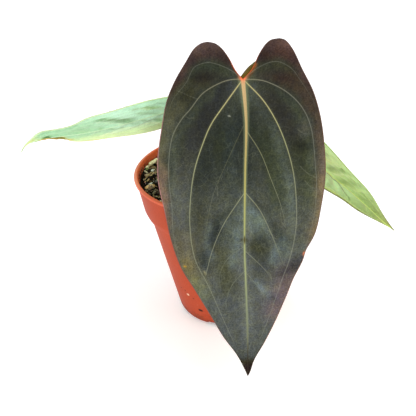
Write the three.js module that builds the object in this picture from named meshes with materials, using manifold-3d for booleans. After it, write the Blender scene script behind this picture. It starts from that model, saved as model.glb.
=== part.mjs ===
// Potted anthurium hybrid: a velvet-leaved aroid with three heart-shaped leaves in a small
// tapered nursery pot. Millimetres, +Z up. The origin is the centre of the pot's flat base,
// and the large leaf hangs towards -Y.

import * as THREE from 'three';
import { mergeVertices } from 'three/addons/utils/BufferGeometryUtils.js';
import Module from 'manifold-3d';

const wasm = await Module();
wasm.setup();

const RAD = Math.PI / 180;
const GAP = 0.3; // clearance between neighbouring pieces

// Pot: a 10 cm pot with a thin lip, a wide collar and a tapering body
const POT = {
  height: 90, lipRadius: 50, lipHeight: 1.8, lipThickness: 2.1,
  collarTopRadius: 48.8, collarFootRadius: 46.2, collarFoot: 71,
  bodyTopRadius: 43.1, bodyTop: 66.4, bodyBaseRadius: 30.2,
  cornerRadius: 3.6, wall: 1.1, floor: 1.5, segments: 48,
  slots: 8, slotWidth: 6.5, slotReach: 3, slotHeight: 3.4,
};

// Growing mix: bark, coir and grit, filled to a little under the lip
const MIX = {
  surface: 83.6, relief: 1.1, slope: 1.2, rings: 5, segments: 32,
  chips: 58, chipLength: [3.2, 6.8], chipInner: 13, chipOuter: 43.5,
};

// Crown: the short stem that carries the leaf stalks, its dry scale leaves and its thick roots
const CROWN = {
  x: 0, y: 2, foot: 58, top: 95.5, radius: 7.2,
  scaleFoot: 86.2, scaleHalfAngle: 46 * RAD, scaleThickness: 0.8,
  rootRadius: 1.7, rootReach: 17, rootDepth: 68,
};

// Leaf stalks
const STALK = { socket: 89, baseRadius: 2.55, midRadius: 2.05, kneeRadius: 2.3 };

// Leaf blades
const BLADE = {
  thickness: 0.65, quilting: 0.85, quiltWidth: 4.2,
  midribHeight: 0.95, veinHeight: 0.55, sideVeinHeight: 0.25, ribWidth: 1.1, sideVeinReach: 1.3,
  calmHub: [4.5, 10], calmMargin: 5,
  lobeRows: 7, columns: [0, 0.05, 0.17, 0.3, 0.43, 0.56, 0.68, 0.8, 0.91, 1],
};

// Outline of one half of a blade, as distances from the midrib line and along it from the
// stalk: first the inner edge of the lobe, from the stalk up, then the outer edge to the tip.
const FRONT_LEFT = {
  inner: [[0, 0], [3.3, -4.2], [6.3, -10], [10.1, -15], [15.8, -18]],
  outer: [[15.8, -18], [19.8, -17.5], [22.7, -15.2], [27.2, -8.4], [32.4, -0.2], [36.6, 9],
    [39.3, 22], [41, 35], [41.1, 47], [38.9, 60], [36, 75], [31.2, 88.6], [24.8, 99.6],
    [18.3, 111.7], [12, 123.6], [5, 133.6], [1.5, 141], [0, 145.1]],
};
const FRONT_RIGHT = {
  inner: [[0, 0], [3.9, -4.3], [7.8, -12.1], [11.4, -16.9], [16, -18.5]],
  outer: [[16, -18.5], [20, -17.3], [23.1, -13.7], [27.6, -4.3], [32.7, 6], [35.8, 17.5],
    [37.4, 32], [37.8, 46], [36, 60], [33.2, 71.9], [28.9, 80.5], [27.4, 85.4], [22.9, 93.3],
    [18.9, 103.7], [13.8, 115.8], [8.6, 126.1], [3.4, 135.5], [1.2, 142.4], [0, 145.1]],
};
const LEFT_NEAR = {
  inner: [[0, 0], [2.6, -3.6], [5, -8], [8, -11], [12.2, -13]],
  outer: [[12.2, -13], [15.2, -12.2], [17.8, -8], [20.8, 0], [25, 11], [31.2, 21.4], [34, 30.5],
    [32.2, 41], [27, 53.5], [20.6, 65], [18.2, 76], [16.8, 84], [12, 91], [7.6, 97],
    [5.3, 102], [3, 107.5], [0, 113.9]],
};
const LEFT_FAR = {
  inner: [[0, 0], [2.6, -3.6], [5, -8], [8, -11], [12.2, -13]],
  outer: [[12.2, -13], [15.2, -12.2], [18.6, -8], [22, -1], [26, 9], [29, 20], [29.1, 32.6],
    [26.8, 45], [25.2, 57.1], [22.8, 67.5], [19.2, 76], [13.5, 83], [8, 84.5], [3.5, 86.5],
    [0, 88.5], [-1.6, 91], [-2.4, 96], [-2.4, 102], [-1.8, 107.5], [0, 113.9]],
};
const RIGHT_NEAR = {
  inner: [[0, 0], [2.4, -2.8], [4.6, -5.9], [7.6, -8.1], [11.5, -8.9]],
  outer: [[11.5, -8.9], [15.2, -8.3], [19, -5.4], [24, 1.8], [30, 14], [33.7, 27], [34.6, 39],
    [31.4, 53.5], [26.6, 68.5], [19.3, 85.7], [14.7, 95], [9.3, 105.3], [4.4, 115.5],
    [1.2, 122.8], [0, 126.1]],
};
const RIGHT_FAR = {
  inner: [[0, 0], [2.4, -2.8], [4.6, -5.9], [7.6, -8.1], [11.5, -8.9]],
  outer: [[11.5, -8.9], [15.2, -8.3], [19, -5.4], [24, 1.8], [30, 14], [33.6, 27], [34, 39],
    [32.3, 54], [27.6, 70.5], [21.9, 82.5], [15.8, 92.5], [11.6, 103.6], [6, 113.7],
    [1.3, 122.6], [0, 126.1]],
};

// Veins of one half of the front blade, from the stalk or the midrib outwards
const VEINS_LEFT = {
  main: [
    [[0, 0], [8.1, 10.9], [15.1, 20.7], [19.7, 31.1], [23.4, 42.4], [25.4, 54.4], [26.2, 68.5],
      [24.2, 84.2], [17.8, 98], [10.9, 115.8], [5.8, 128.4]],
    [[0, 0], [9.9, 1.2], [18.7, 5.9], [29.1, 17.7], [33.7, 25.8], [35.8, 42.2], [34.8, 59.5],
      [34.5, 73.4], [31.5, 86.1]],
    [[0, 0], [6.7, -5], [15.5, -8.3], [23.1, -6], [26.6, 0.5], [33.5, 8.7], [37.1, 19.3]],
  ],
  side: [
    [[0, 21.8], [8.5, 39.5], [14.7, 53.8], [19.6, 74.5]],
    [[0, 52.8], [9.7, 67.1], [15.3, 79.3], [19.3, 93]],
    [[0, 77.9], [7.4, 83], [12.5, 92.1], [12, 100.6]],
    [[0, 89.6], [7, 97.8], [11, 109.3]],
  ],
};
const VEINS_RIGHT = {
  main: [
    [[0, 0], [9.3, 10.1], [15.3, 20.1], [19.5, 30.6], [22.5, 41.9], [23.9, 53.1], [24, 68.3],
      [21.3, 83], [17.3, 93.9], [13.6, 105], [8, 120.8], [4.8, 128]],
    [[0, 0], [11.8, 1.8], [20.4, 6.5], [27.1, 13.4], [31, 22.2], [33, 40.2], [33.6, 51.4],
      [31.9, 67.1], [28, 79.4]],
    [[0, 0], [8.2, -5.8], [15.6, -7.9], [22.4, -4.6], [26.6, 1], [32.1, 9.7], [34, 14.9]],
  ],
  side: [
    [[0, 21.8], [7.7, 34.2], [12.5, 46.7], [16.8, 58.6], [19.2, 69.6]],
    [[0, 52.1], [6.9, 60.7], [11.9, 71.3], [18.2, 88.1]],
    [[0, 80.4], [9.1, 89.6], [14, 97.4]],
    [[0, 90.6], [6.6, 99.1], [9.4, 103.6]],
  ],
};

// The three leaves. heading is the tip's direction in plan, dip its slope below level at the
// stalk and at the tip, droop the extra slope of the last stretch. roll turns the blade about
// its midrib, and bend is the curvature of each half away from its velvety face (1/mm).
// stalk lists points from the crown; the last ones are measured from the blade.
const LEAVES = {
  front: {
    hub: [10.3, -42, 156.3], heading: -96.1, sweep: 0, dip: [58.3, 78.3], droop: 0,
    roll: 0, twist: 0, length: 145.1, bend: [0.004, 0.004], rows: 30,
    halves: [FRONT_LEFT, FRONT_RIGHT], veins: [VEINS_LEFT, VEINS_RIGHT], veinScale: [1, 1],
    midrib: [[0, 0], [1.3, 20], [0.6, 42], [0, 63], [-0.3, 80], [0, 97], [0.3, 122], [0, 145.1]],
    waves: { height: 0.7, count: 3.2, phase: 0.6 },
    fold: { half: 1, at: [28, 84], reach: 6, depth: 2.4 },
    stalk: [[0.5, -1.4], [1.5, -3, 104], [5, -8, 126], [11, -16, 143], [17, -22.5, 152]],
    knee: [[7.4, -8.6, -9.4], [5, -6.2, -5.2], [2.3, -2.8, -3.4]],
    color: 0x3c3d33, stalkColor: 0x6e7440,
  },
  left: {
    hub: [-12.1, 6.6, 128.8], heading: 173.8, sweep: -11.3, dip: [19, 7.6], droop: 35.6,
    roll: 36.2, twist: -0.9, length: 113.9, bend: [0.002, 0.004], rows: 23,
    halves: [LEFT_FAR, LEFT_NEAR], veins: [VEINS_LEFT, VEINS_RIGHT], veinScale: [0.72, 0.785],
    midrib: [[0, 0], [0.6, 30], [0.2, 60], [1.5, 74], [3.5, 86], [4.6, 96], [3.9, 101], [2.4, 107],
      [0, 113.9]],
    waves: { height: 0.45, count: 3.4, phase: 2.1 },
    fold: null,
    stalk: [[-3.2, 3.6], [-3.8, 2.6, 104], [-4.3, 1.4, 116]],
    knee: [[0, -6.4, -8.2], [0, -2.6, -4.2]],
    color: 0xa9cf9d, stalkColor: 0x76803f,
  },
  right: {
    hub: [21.8, 24.9, 125.9], heading: -8.2, sweep: 0, dip: [52.4, 44], droop: 0,
    roll: -36.2, twist: -10.4, length: 126.1, bend: [0.01, 0.006], rows: 21,
    halves: [RIGHT_NEAR, RIGHT_FAR], veins: [VEINS_LEFT, VEINS_RIGHT], veinScale: [0.83, 0.869],
    midrib: [[0, 0], [1.5, 30], [2.4, 58], [1.2, 73], [-1, 82], [-2.1, 95], [-2, 108], [0, 126.1]],
    waves: { height: 0.35, count: 3, phase: 0.3 },
    fold: null,
    stalk: [[3.2, 4.2], [4.4, 8, 104], [7, 14, 117]],
    knee: [[0, -6.4, -8.2], [0, -2.6, -4.2]],
    color: 0x9fb96a, stalkColor: 0x76803f,
  },
};

const clamp = (x, low, high) => Math.min(Math.max(x, low), high);
const mix = (a, b, t) => a + (b - a) * t;
const vector = (p) => new THREE.Vector3(...p);

function smoothstep(low, high, x) {
  const t = clamp((x - low) / (high - low), 0, 1);
  return t * t * (3 - 2 * t);
}

function seededRandom(seed) {
  let state = seed;
  return () => {
    state = (state * 1664525 + 1013904223) >>> 0;
    return state / 4294967296;
  };
}

// Closed meshes and solids

function indexedGeometry(points, triangles) {
  const geometry = new THREE.BufferGeometry();
  const flat = points.flatMap((p) => [p.x, p.y, p.z]);
  geometry.setAttribute('position', new THREE.Float32BufferAttribute(flat, 3));
  geometry.setIndex(triangles);
  return geometry;
}

function weld(geometry) {
  const bare = geometry.clone();
  bare.deleteAttribute('normal');
  bare.deleteAttribute('uv');
  const merged = mergeVertices(bare, 1e-4);
  const source = merged.index.array;
  const kept = [];
  for (let i = 0; i < source.length; i += 3) {
    const [a, b, c] = source.slice(i, i + 3);
    if (a !== b && b !== c && c !== a) kept.push(a, b, c);
  }
  merged.setIndex(kept);
  return merged;
}

function signedVolume(geometry) {
  const [a, b, c] = [new THREE.Vector3(), new THREE.Vector3(), new THREE.Vector3()];
  const position = geometry.attributes.position;
  const index = geometry.index.array;
  let total = 0;
  for (let i = 0; i < index.length; i += 3) {
    a.fromBufferAttribute(position, index[i]);
    b.fromBufferAttribute(position, index[i + 1]);
    c.fromBufferAttribute(position, index[i + 2]);
    total += a.dot(b.cross(c)) / 6;
  }
  return total;
}

function faceOutwards(geometry) {
  if (signedVolume(geometry) < 0) geometry.setIndex([...geometry.index.array].reverse());
  return geometry;
}

function toSolid(geometry) {
  const closed = faceOutwards(weld(geometry));
  return new wasm.Manifold(new wasm.Mesh({
    numProp: 3,
    vertProperties: new Float32Array(closed.attributes.position.array),
    triVerts: new Uint32Array(closed.index.array),
  }));
}

function toGeometry(solid) {
  const mesh = solid.getMesh();
  const geometry = new THREE.BufferGeometry();
  const position = new THREE.BufferAttribute(new Float32Array(mesh.vertProperties), 3);
  geometry.setAttribute('position', position);
  geometry.setIndex([...mesh.triVerts]);
  return geometry;
}

// A turned body about the Z axis, from a profile of [radius, height] points that starts and
// ends on the axis
function lathe(profile, segments) {
  const points = profile.map(([radius, height]) => new THREE.Vector2(radius, height));
  return new THREE.LatheGeometry(points, segments).rotateX(Math.PI / 2);
}

function quarterArc(centre, radius, from, to, steps) {
  const points = [];
  for (let i = 0; i <= steps; i += 1) {
    const angle = mix(from, to, i / steps);
    points.push([centre[0] + radius * Math.cos(angle), centre[1] + radius * Math.sin(angle)]);
  }
  return points;
}

// A thin closed body: the same triangles above and below, and a wall round every open edge
function closedSheet(top, bottom, triangles) {
  const count = top.length;
  const edges = new Set();
  for (let i = 0; i < triangles.length; i += 3) {
    const [a, b, c] = triangles.slice(i, i + 3);
    edges.add(`${a} ${b}`).add(`${b} ${c}`).add(`${c} ${a}`);
  }
  const all = [...triangles];
  for (let i = 0; i < triangles.length; i += 3) {
    const [a, b, c] = triangles.slice(i, i + 3);
    all.push(a + count, c + count, b + count);
  }
  for (const edge of edges) {
    const [a, b] = edge.split(' ').map(Number);
    if (!edges.has(`${b} ${a}`)) all.push(b, a, a + count, b, a + count, b + count);
  }
  return indexedGeometry([...top, ...bottom], all);
}

// A tapering round limb along a curve, with flat ends. endPlane cuts the far end aslant.
function limb(curve, radiusAt, { rings, sides, endPlane = null }) {
  const frames = curve.computeFrenetFrames(rings, false);
  const points = [];
  const triangles = [];
  for (let ring = 0; ring <= rings; ring += 1) {
    const centre = curve.getPointAt(ring / rings);
    const radius = radiusAt(ring / rings);
    for (let side = 0; side < sides; side += 1) {
      const angle = (2 * Math.PI * side) / sides;
      points.push(centre.clone()
        .addScaledVector(frames.normals[ring], radius * Math.cos(angle))
        .addScaledVector(frames.binormals[ring], radius * Math.sin(angle)));
    }
  }
  points.push(curve.getPointAt(0), curve.getPointAt(1));
  const startCentre = points.length - 2;
  const endCentre = points.length - 1;
  if (endPlane) {
    const along = frames.tangents[rings];
    const slope = along.dot(endPlane.normal);
    for (const index of [...Array(sides).keys()].map((s) => rings * sides + s).concat(endCentre)) {
      const lift = endPlane.point.clone().sub(points[index]).dot(endPlane.normal) / slope;
      points[index].addScaledVector(along, lift);
    }
  }
  for (let side = 0; side < sides; side += 1) {
    const next = (side + 1) % sides;
    triangles.push(startCentre, next, side);
    triangles.push(endCentre, rings * sides + side, rings * sides + next);
    for (let ring = 0; ring < rings; ring += 1) {
      const [low, high] = [ring * sides, (ring + 1) * sides];
      triangles.push(low + side, low + next, high + side, low + next, high + next, high + side);
    }
  }
  return faceOutwards(indexedGeometry(points, triangles));
}

// Leaf blades

// The midrib line in space: position, direction along it, direction across and the normal of
// the velvety face, at a distance b from the stalk
function midline(leaf) {
  const step = 0.5;
  const direction = (b) => {
    const u = b / leaf.length;
    const extra = leaf.droop * clamp((u - 0.72) / 0.28, 0, 1) ** 1.5;
    const dip = (mix(leaf.dip[0], leaf.dip[1], u) + extra) * RAD;
    const heading = (leaf.heading + leaf.sweep * clamp(u, 0, 1.2) ** 1.5) * RAD;
    const level = Math.cos(dip);
    return {
      along: vector([level * Math.cos(heading), level * Math.sin(heading), -Math.sin(dip)]),
      across: vector([-Math.sin(heading), Math.cos(heading), 0]),
      roll: (leaf.roll + leaf.twist * u) * RAD,
    };
  };
  const walk = (limit) => {
    const stations = [vector(leaf.hub)];
    for (let b = 0; Math.abs(b) < Math.abs(limit); b += Math.sign(limit) * step) {
      const middle = direction(b + (Math.sign(limit) * step) / 2).along;
      const last = stations[stations.length - 1];
      stations.push(last.clone().addScaledVector(middle, Math.sign(limit) * step));
    }
    return stations;
  };
  const forwards = walk(leaf.length + 5);
  const backwards = walk(-30);
  return (b) => {
    const stations = b < 0 ? backwards : forwards;
    const place = Math.abs(b) / step;
    const low = clamp(Math.floor(place), 0, stations.length - 2);
    const { along, across, roll } = direction(b);
    const normal = along.clone().cross(across);
    const rolledAcross = across.clone().multiplyScalar(Math.cos(roll));
    rolledAcross.addScaledVector(normal, Math.sin(roll));
    return {
      origin: stations[low].clone().lerp(stations[low + 1], place - low),
      along,
      across: rolledAcross,
      normal: along.clone().cross(rolledAcross),
    };
  };
}

// Point of a leaf at a mm across, b mm along and n mm off its bent sheet
function leafPlacer(leaf) {
  const frameAt = midline(leaf);
  return (a, b, n) => {
    const frame = frameAt(b);
    const bend = leaf.bend[a < 0 ? 0 : 1];
    return frame.origin
      .addScaledVector(frame.across, Math.sin(bend * a) / bend)
      .addScaledVector(frame.normal, n - (1 - Math.cos(bend * a)) / bend);
  };
}

const spline = (points) => new THREE.CatmullRomCurve3(points.map(([a, b]) => vector([a, b, 0])));

function distanceToLine(a, b, line) {
  let best = Infinity;
  for (let i = 1; i < line.length; i += 1) {
    const [[x0, y0], [x1, y1]] = [line[i - 1], line[i]];
    const [dx, dy] = [x1 - x0, y1 - y0];
    const t = clamp(((a - x0) * dx + (b - y0) * dy) / (dx * dx + dy * dy), 0, 1);
    best = Math.min(best, Math.hypot(a - x0 - t * dx, b - y0 - t * dy));
  }
  return best;
}

// Where a row from the inner to the outer edge meets a vein, as fractions of the row
function crossings(inner, outer, line) {
  const found = [];
  const [rx, ry] = [outer.x - inner.x, outer.y - inner.y];
  for (let i = 1; i < line.length; i += 1) {
    const [[x0, y0], [x1, y1]] = [line[i - 1], line[i]];
    const [vx, vy] = [x1 - x0, y1 - y0];
    const area = rx * vy - ry * vx;
    if (Math.abs(area) < 1e-9) continue;
    const onRow = ((x0 - inner.x) * vy - (y0 - inner.y) * vx) / area;
    const onVein = ((x0 - inner.x) * ry - (y0 - inner.y) * rx) / area;
    if (onVein >= 0 && onVein < 1 && onRow > 0.1 && onRow < 0.96) found.push(onRow);
  }
  return found;
}

// Columns of one row, with the nearest column moved onto each vein that the row meets
function columnsOnVeins(inner, outer, veins) {
  const columns = [...BLADE.columns];
  const moved = new Set([0, 1, columns.length - 1]);
  for (const fraction of veins.flatMap((line) => crossings(inner, outer, line))) {
    const free = columns.map((_, i) => i).filter((i) => !moved.has(i));
    if (!free.length) break;
    free.sort((i, j) => Math.abs(columns[i] - fraction) - Math.abs(columns[j] - fraction));
    columns[free[0]] = fraction;
    moved.add(free[0]);
  }
  return columns.sort((a, b) => a - b);
}

// Vein lines of one half, as distances from the midrib line, in the blade's own size
function veinLines(leaf, half) {
  const [wide, long] = leaf.veinScale;
  const side = half === 0 ? -1 : 1;
  const scale = (line) => line.map(([a, b]) => [a * wide, b * long]);
  return {
    midrib: spline(leaf.midrib).getPoints(24).map((p) => [p.x * side, p.y]),
    main: leaf.veins[half].main.map(scale),
    side: leaf.veins[half].side.map(scale),
  };
}

// How far the velvety face stands off the bent sheet, and how thick the blade is, at one point.
// The blade swells between its sunken veins, and the veins stand out as ribs underneath.
function bladeRelief(leaf, half, lines, a, b, place) {
  const nearestOf = (group) => Math.min(...group.map((line) => distanceToLine(a, b, line)));
  const toMidrib = b > 0 ? nearestOf([lines.midrib]) : Infinity;
  const toMain = nearestOf(lines.main);
  const toSide = nearestOf(lines.side);
  const calm = smoothstep(...BLADE.calmHub, Math.hypot(a, b));
  const edge = smoothstep(0, BLADE.calmMargin, place.fromMargin);
  const nearest = Math.min(toMidrib, toMain, toSide * BLADE.sideVeinReach);
  const quilt = BLADE.quilting * (1 - Math.exp(-((nearest / BLADE.quiltWidth) ** 2)));
  const { height, count, phase } = leaf.waves;
  const wave = height * place.across ** 3
    * Math.sin(2 * Math.PI * count * place.along + phase + half);
  let lift = (quilt * edge + wave) * calm;
  if (leaf.fold && leaf.fold.half === half) {
    const away = Math.hypot(a - leaf.fold.at[0], b - leaf.fold.at[1]) / leaf.fold.reach;
    lift -= leaf.fold.depth * Math.exp(-(away ** 2));
  }
  const ridge = (distance, height) => height * Math.exp(-((distance / BLADE.ribWidth) ** 2));
  const rib = Math.max(ridge(toMidrib, BLADE.midribHeight), ridge(toMain, BLADE.veinHeight),
    ridge(toSide, BLADE.sideVeinHeight));
  return { lift, thickness: BLADE.thickness + rib * calm * edge };
}

function bladeGeometry(leaf) {
  const placeAt = leafPlacer(leaf);
  const midrib = spline(leaf.midrib);
  const [top, bottom, flat, triangles] = [[], [], [], []];
  const onMidrib = [];

  function addVertex(half, lines, point, place) {
    const { lift, thickness } = bladeRelief(leaf, half, lines, point.x, point.y, place);
    const a = half === 0 ? -point.x : point.x;
    top.push(placeAt(a, point.y, lift));
    bottom.push(placeAt(a, point.y, lift - thickness));
    flat.push([a, point.y]);
    return top.length - 1;
  }

  function addTriangle(i, j, k) {
    if (i === j || j === k || k === i) return;
    const [[ai, bi], [aj, bj], [ak, bk]] = [flat[i], flat[j], flat[k]];
    const turn = (bj - bi) * (ak - ai) - (bk - bi) * (aj - ai);
    triangles.push(...(turn > 0 ? [i, j, k] : [i, k, j]));
  }

  // Rows run from the inner edge or the midrib out to the margin, first through the lobe and
  // then down the blade. Both halves share the points on the midrib.
  leaf.halves.forEach((outline, half) => {
    const side = half === 0 ? -1 : 1;
    const sinus = spline(outline.inner);
    const margin = spline(outline.outer);
    const shoulder = sinus.getLength() / margin.getLength();
    const totalRows = BLADE.lobeRows + leaf.rows;
    const lines = veinLines(leaf, half);
    const veins = [...lines.main, ...lines.side];
    let previous = null;
    for (let row = 0; row <= totalRows; row += 1) {
      const inLobe = row <= BLADE.lobeRows;
      const bodyRow = row - BLADE.lobeRows;
      const u = inLobe ? row / BLADE.lobeRows : bodyRow / leaf.rows;
      const inner = inLobe ? sinus.getPointAt(1 - u) : midrib.getPointAt(u);
      if (!inLobe) inner.x *= side;
      const outer = margin.getPointAt(inLobe ? shoulder * u : mix(shoulder, 1, u));
      const width = inner.distanceTo(outer);
      const isPoint = row === 0 || row === totalRows;
      const columns = isPoint ? [0] : columnsOnVeins(inner, outer, veins);
      const indices = columns.map((across, column) => {
        const isShared = column === 0 && bodyRow >= 0;
        if (isShared && onMidrib[bodyRow] !== undefined) return onMidrib[bodyRow];
        const fromOuter = (1 - across) * width;
        const fromMargin = inLobe ? Math.min(across * width, fromOuter) : fromOuter;
        const place = { across, along: row / totalRows, fromMargin };
        const index = addVertex(half, lines, inner.clone().lerp(outer, across), place);
        if (isShared) onMidrib[bodyRow] = index;
        return index;
      });
      while (indices.length < BLADE.columns.length) indices.push(indices[0]);
      for (let i = 1; previous && i < indices.length; i += 1) {
        addTriangle(previous[i - 1], previous[i], indices[i - 1]);
        addTriangle(previous[i], indices[i], indices[i - 1]);
      }
      previous = indices;
    }
  });
  return closedSheet(top, bottom, triangles);
}

// Leaf stalks, standing in sockets of the crown and ending under the blade

function stalkGeometry(leaf, extra = 0) {
  const place = leafPlacer(leaf);
  const [socket, ...rest] = leaf.stalk;
  const depth = -(BLADE.thickness + GAP);
  const points = [
    vector([...socket, STALK.socket - extra]),
    ...rest.map(vector),
    ...leaf.knee.map(([a, b, n]) => place(a, b, n)),
    place(0, 1.2, depth),
  ];
  const normal = midline(leaf)(0).normal;
  const radiusAt = (t) => extra + (t < 0.25
    ? mix(STALK.baseRadius, STALK.midRadius, smoothstep(0, 0.25, t))
    : mix(STALK.midRadius, STALK.kneeRadius, smoothstep(0.7, 0.88, t)));
  return limb(new THREE.CatmullRomCurve3(points), radiusAt, {
    rings: 18, sides: 9, endPlane: { point: place(0, 0, depth), normal },
  });
}

// Pot

// The pot's outer side set in by a wall: its corner points, and its radius up the collar
function potSide(inset) {
  const foot = [POT.bodyBaseRadius - inset, POT.cornerRadius];
  const step = [POT.bodyTopRadius - inset, POT.bodyTop];
  const collar = [POT.collarFootRadius - inset, POT.collarFoot];
  const rim = [POT.collarTopRadius - inset, POT.height - POT.lipHeight];
  const shoulder = [mix(step[0], collar[0], 0.62), mix(step[1], collar[1], 0.3)];
  const collarRadius = (z) => mix(collar[0], rim[0], (z - collar[1]) / (rim[1] - collar[1]));
  return { points: [foot, step, shoulder, collar, rim], collarRadius };
}

function potSolid() {
  const outside = potSide(0).points;
  const inside = potSide(POT.wall).points.reverse();
  const corner = POT.cornerRadius;
  const innerCorner = corner - POT.wall;
  const floorCentre = [POT.bodyBaseRadius - corner, corner];
  const innerTop = POT.lipRadius - POT.lipThickness;
  const profile = [
    [0, 0],
    ...quarterArc(floorCentre, corner, -Math.PI / 2, 0, 2).slice(0, -1),
    ...outside,
    [POT.lipRadius, POT.height - POT.lipHeight + 0.3],
    [POT.lipRadius, POT.height - 0.5],
    [POT.lipRadius - 0.5, POT.height],
    [innerTop + 0.4, POT.height],
    [innerTop, POT.height - 0.5],
    ...inside,
    ...quarterArc([floorCentre[0], POT.floor + innerCorner], innerCorner, 0, -Math.PI / 2, 2).slice(1),
    [0, POT.floor],
  ];
  let pot = toSolid(lathe(profile, POT.segments));
  for (let i = 0; i < POT.slots; i += 1) {
    const slot = new THREE.BoxGeometry(POT.slotReach * 2, POT.slotWidth, POT.slotHeight);
    slot.translate(POT.bodyBaseRadius, 0, POT.slotHeight / 2 - 0.8);
    slot.rotateZ((2 * Math.PI * (i + 0.5)) / POT.slots);
    pot = pot.subtract(toSolid(slot));
  }
  return pot;
}

// Crown

function crownStem(extra = 0) {
  const { foot, top, radius } = CROWN;
  return lathe([
    [0, foot - extra], [3.6 + extra, foot - extra], [5.4 + extra, foot + 4],
    [radius - 0.8 + extra, 76], [radius + extra, 85], [radius - 0.2 + extra, top - 3.2],
    [radius - 2 + extra, top - 0.6 + extra], [0, top + extra],
  ], 14).translate(CROWN.x, CROWN.y, 0);
}

function rootGeometry(index, extra = 0) {
  const heading = (28 + index * 76) * RAD;
  const reach = CROWN.rootReach + 1.6 * Math.sin(index * 2.3);
  const at = (r, z) => vector([
    CROWN.x + r * Math.cos(heading + r * 0.012), CROWN.y + r * Math.sin(heading + r * 0.012), z,
  ]);
  const curve = new THREE.CatmullRomCurve3([
    at(4, 88.2), at(9, 88.8), at(reach - 3.4, 86.6), at(reach, 80),
    at(reach + 0.6, CROWN.rootDepth - extra),
  ]);
  return limb(curve, (t) => extra + CROWN.rootRadius * (1 - 0.28 * t), { rings: 7, sides: 6 });
}

// A dry scale leaf that clasps the crown between two stalks
function scaleLeaf(heading, length) {
  const [columns, rows] = [4, 5];
  const [top, bottom, triangles] = [[], [], []];
  for (let row = 0; row <= rows; row += 1) {
    const v = row / rows;
    const spread = CROWN.scaleHalfAngle * (1 - v ** 2.2) + 3 * RAD;
    for (let column = 0; column <= columns; column += 1) {
      const u = (2 * column) / columns - 1;
      const angle = heading + u * spread;
      const radius = CROWN.radius - 0.6 + 2.4 * v ** 1.4 + 0.5 * v * u * u;
      const z = CROWN.scaleFoot + length * v * (1 - 0.12 * u * u);
      const ring = (r) => vector([CROWN.x + r * Math.cos(angle), CROWN.y + r * Math.sin(angle), z]);
      top.push(ring(radius + CROWN.scaleThickness));
      bottom.push(ring(radius));
      if (row && column) {
        const here = top.length - 1;
        const below = here - columns - 1;
        triangles.push(below - 1, below, here, below - 1, here, here - 1);
      }
    }
  }
  return closedSheet(top, bottom, triangles);
}

const ROOTS = [0, 1, 2, 3, 4];

function crownSolid() {
  let crown = toSolid(crownStem());
  for (const [heading, length] of [[-24, 22], [96, 18], [212, 20]]) {
    crown = crown.add(toSolid(scaleLeaf(heading * RAD, length)));
  }
  for (const root of ROOTS) crown = crown.add(toSolid(rootGeometry(root)));
  for (const leaf of Object.values(LEAVES)) {
    crown = crown.subtract(toSolid(stalkGeometry(leaf, GAP)));
  }
  return crown;
}

// Growing mix: a filled body with an uneven top, chips and grit sunk into it, and plain holes
// where the crown and its roots stand

function mixSurface(x, y) {
  const lumps = Math.sin(x * 0.31 + 1.2) * Math.cos(y * 0.27 - 0.5)
    + 0.6 * Math.sin(x * 0.63 - y * 0.52 + 2.1) + 0.4 * Math.cos(x * 0.9 + y * 0.84);
  return MIX.surface + MIX.relief * 0.6 * lumps + MIX.slope * (y / 50);
}

function mixSolid() {
  const { points, collarRadius } = potSide(POT.wall + GAP);
  const edge = collarRadius(MIX.surface);
  const profile = [[0, POT.floor + GAP], [points[0][0] - POT.cornerRadius * 0.8, POT.floor + GAP]];
  profile.push(...points.slice(0, -1), [edge, MIX.surface]);
  for (let ring = MIX.rings - 1; ring >= 0; ring -= 1) {
    profile.push([(edge * ring) / MIX.rings, MIX.surface]);
  }
  const body = weld(lathe(profile, MIX.segments));
  const position = body.attributes.position;
  for (let i = 0; i < position.count; i += 1) {
    if (Math.abs(position.getZ(i) - MIX.surface) > 1e-3) continue;
    const [x, y] = [position.getX(i), position.getY(i)];
    const rimFade = 1 - smoothstep(edge - 2, edge, Math.hypot(x, y)) * 0.7;
    position.setZ(i, mix(MIX.surface, mixSurface(x, y), rimFade));
  }
  let bed = toSolid(body);

  const random = seededRandom(41);
  for (let i = 0; i < MIX.chips; i += 1) {
    const spread = Math.sqrt((i + 0.5) / MIX.chips);
    const radius = mix(MIX.chipInner, MIX.chipOuter, spread) - random() * 2;
    const angle = i * 137.5 * RAD + random() * 0.5;
    const long = mix(...MIX.chipLength, random()) * (radius > 41 ? 0.6 : 1);
    const isGrit = random() < 0.35;
    const chip = isGrit
      ? new THREE.OctahedronGeometry(long * 0.42)
      : new THREE.BoxGeometry(long, long * mix(0.45, 0.7, random()), long * mix(0.3, 0.5, random()));
    chip.rotateX(mix(-0.6, 0.6, random())).rotateY(mix(-0.6, 0.6, random())).rotateZ(random() * 6.28);
    const [x, y] = [radius * Math.cos(angle), radius * Math.sin(angle)];
    chip.translate(x, y, mixSurface(x, y) + long * 0.06);
    bed = bed.add(toSolid(chip));
  }

  bed = bed.subtract(toSolid(crownStem(GAP)));
  for (const root of ROOTS) bed = bed.subtract(toSolid(rootGeometry(root, GAP)));
  return bed;
}

// Assembly

function piece(name, geometry, color, roughness) {
  const material = new THREE.MeshStandardMaterial({ color, roughness, metalness: 0 });
  const mesh = new THREE.Mesh(geometry, material);
  mesh.name = name;
  return mesh;
}

const plant = new THREE.Group();
plant.add(piece('pot', toGeometry(potSolid()), 0xc05a40, 0.55));
plant.add(piece('growing_mix', toGeometry(mixSolid()), 0x2e2822, 0.95));
plant.add(piece('crown', toGeometry(crownSolid()), 0x7b6a48, 0.8));
for (const [side, leaf] of Object.entries(LEAVES)) {
  plant.add(piece(`stalk_${side}`, stalkGeometry(leaf), leaf.stalkColor, 0.6));
  plant.add(piece(`leaf_${side}`, bladeGeometry(leaf), leaf.color, 0.75));
}

export default plant;
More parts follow.
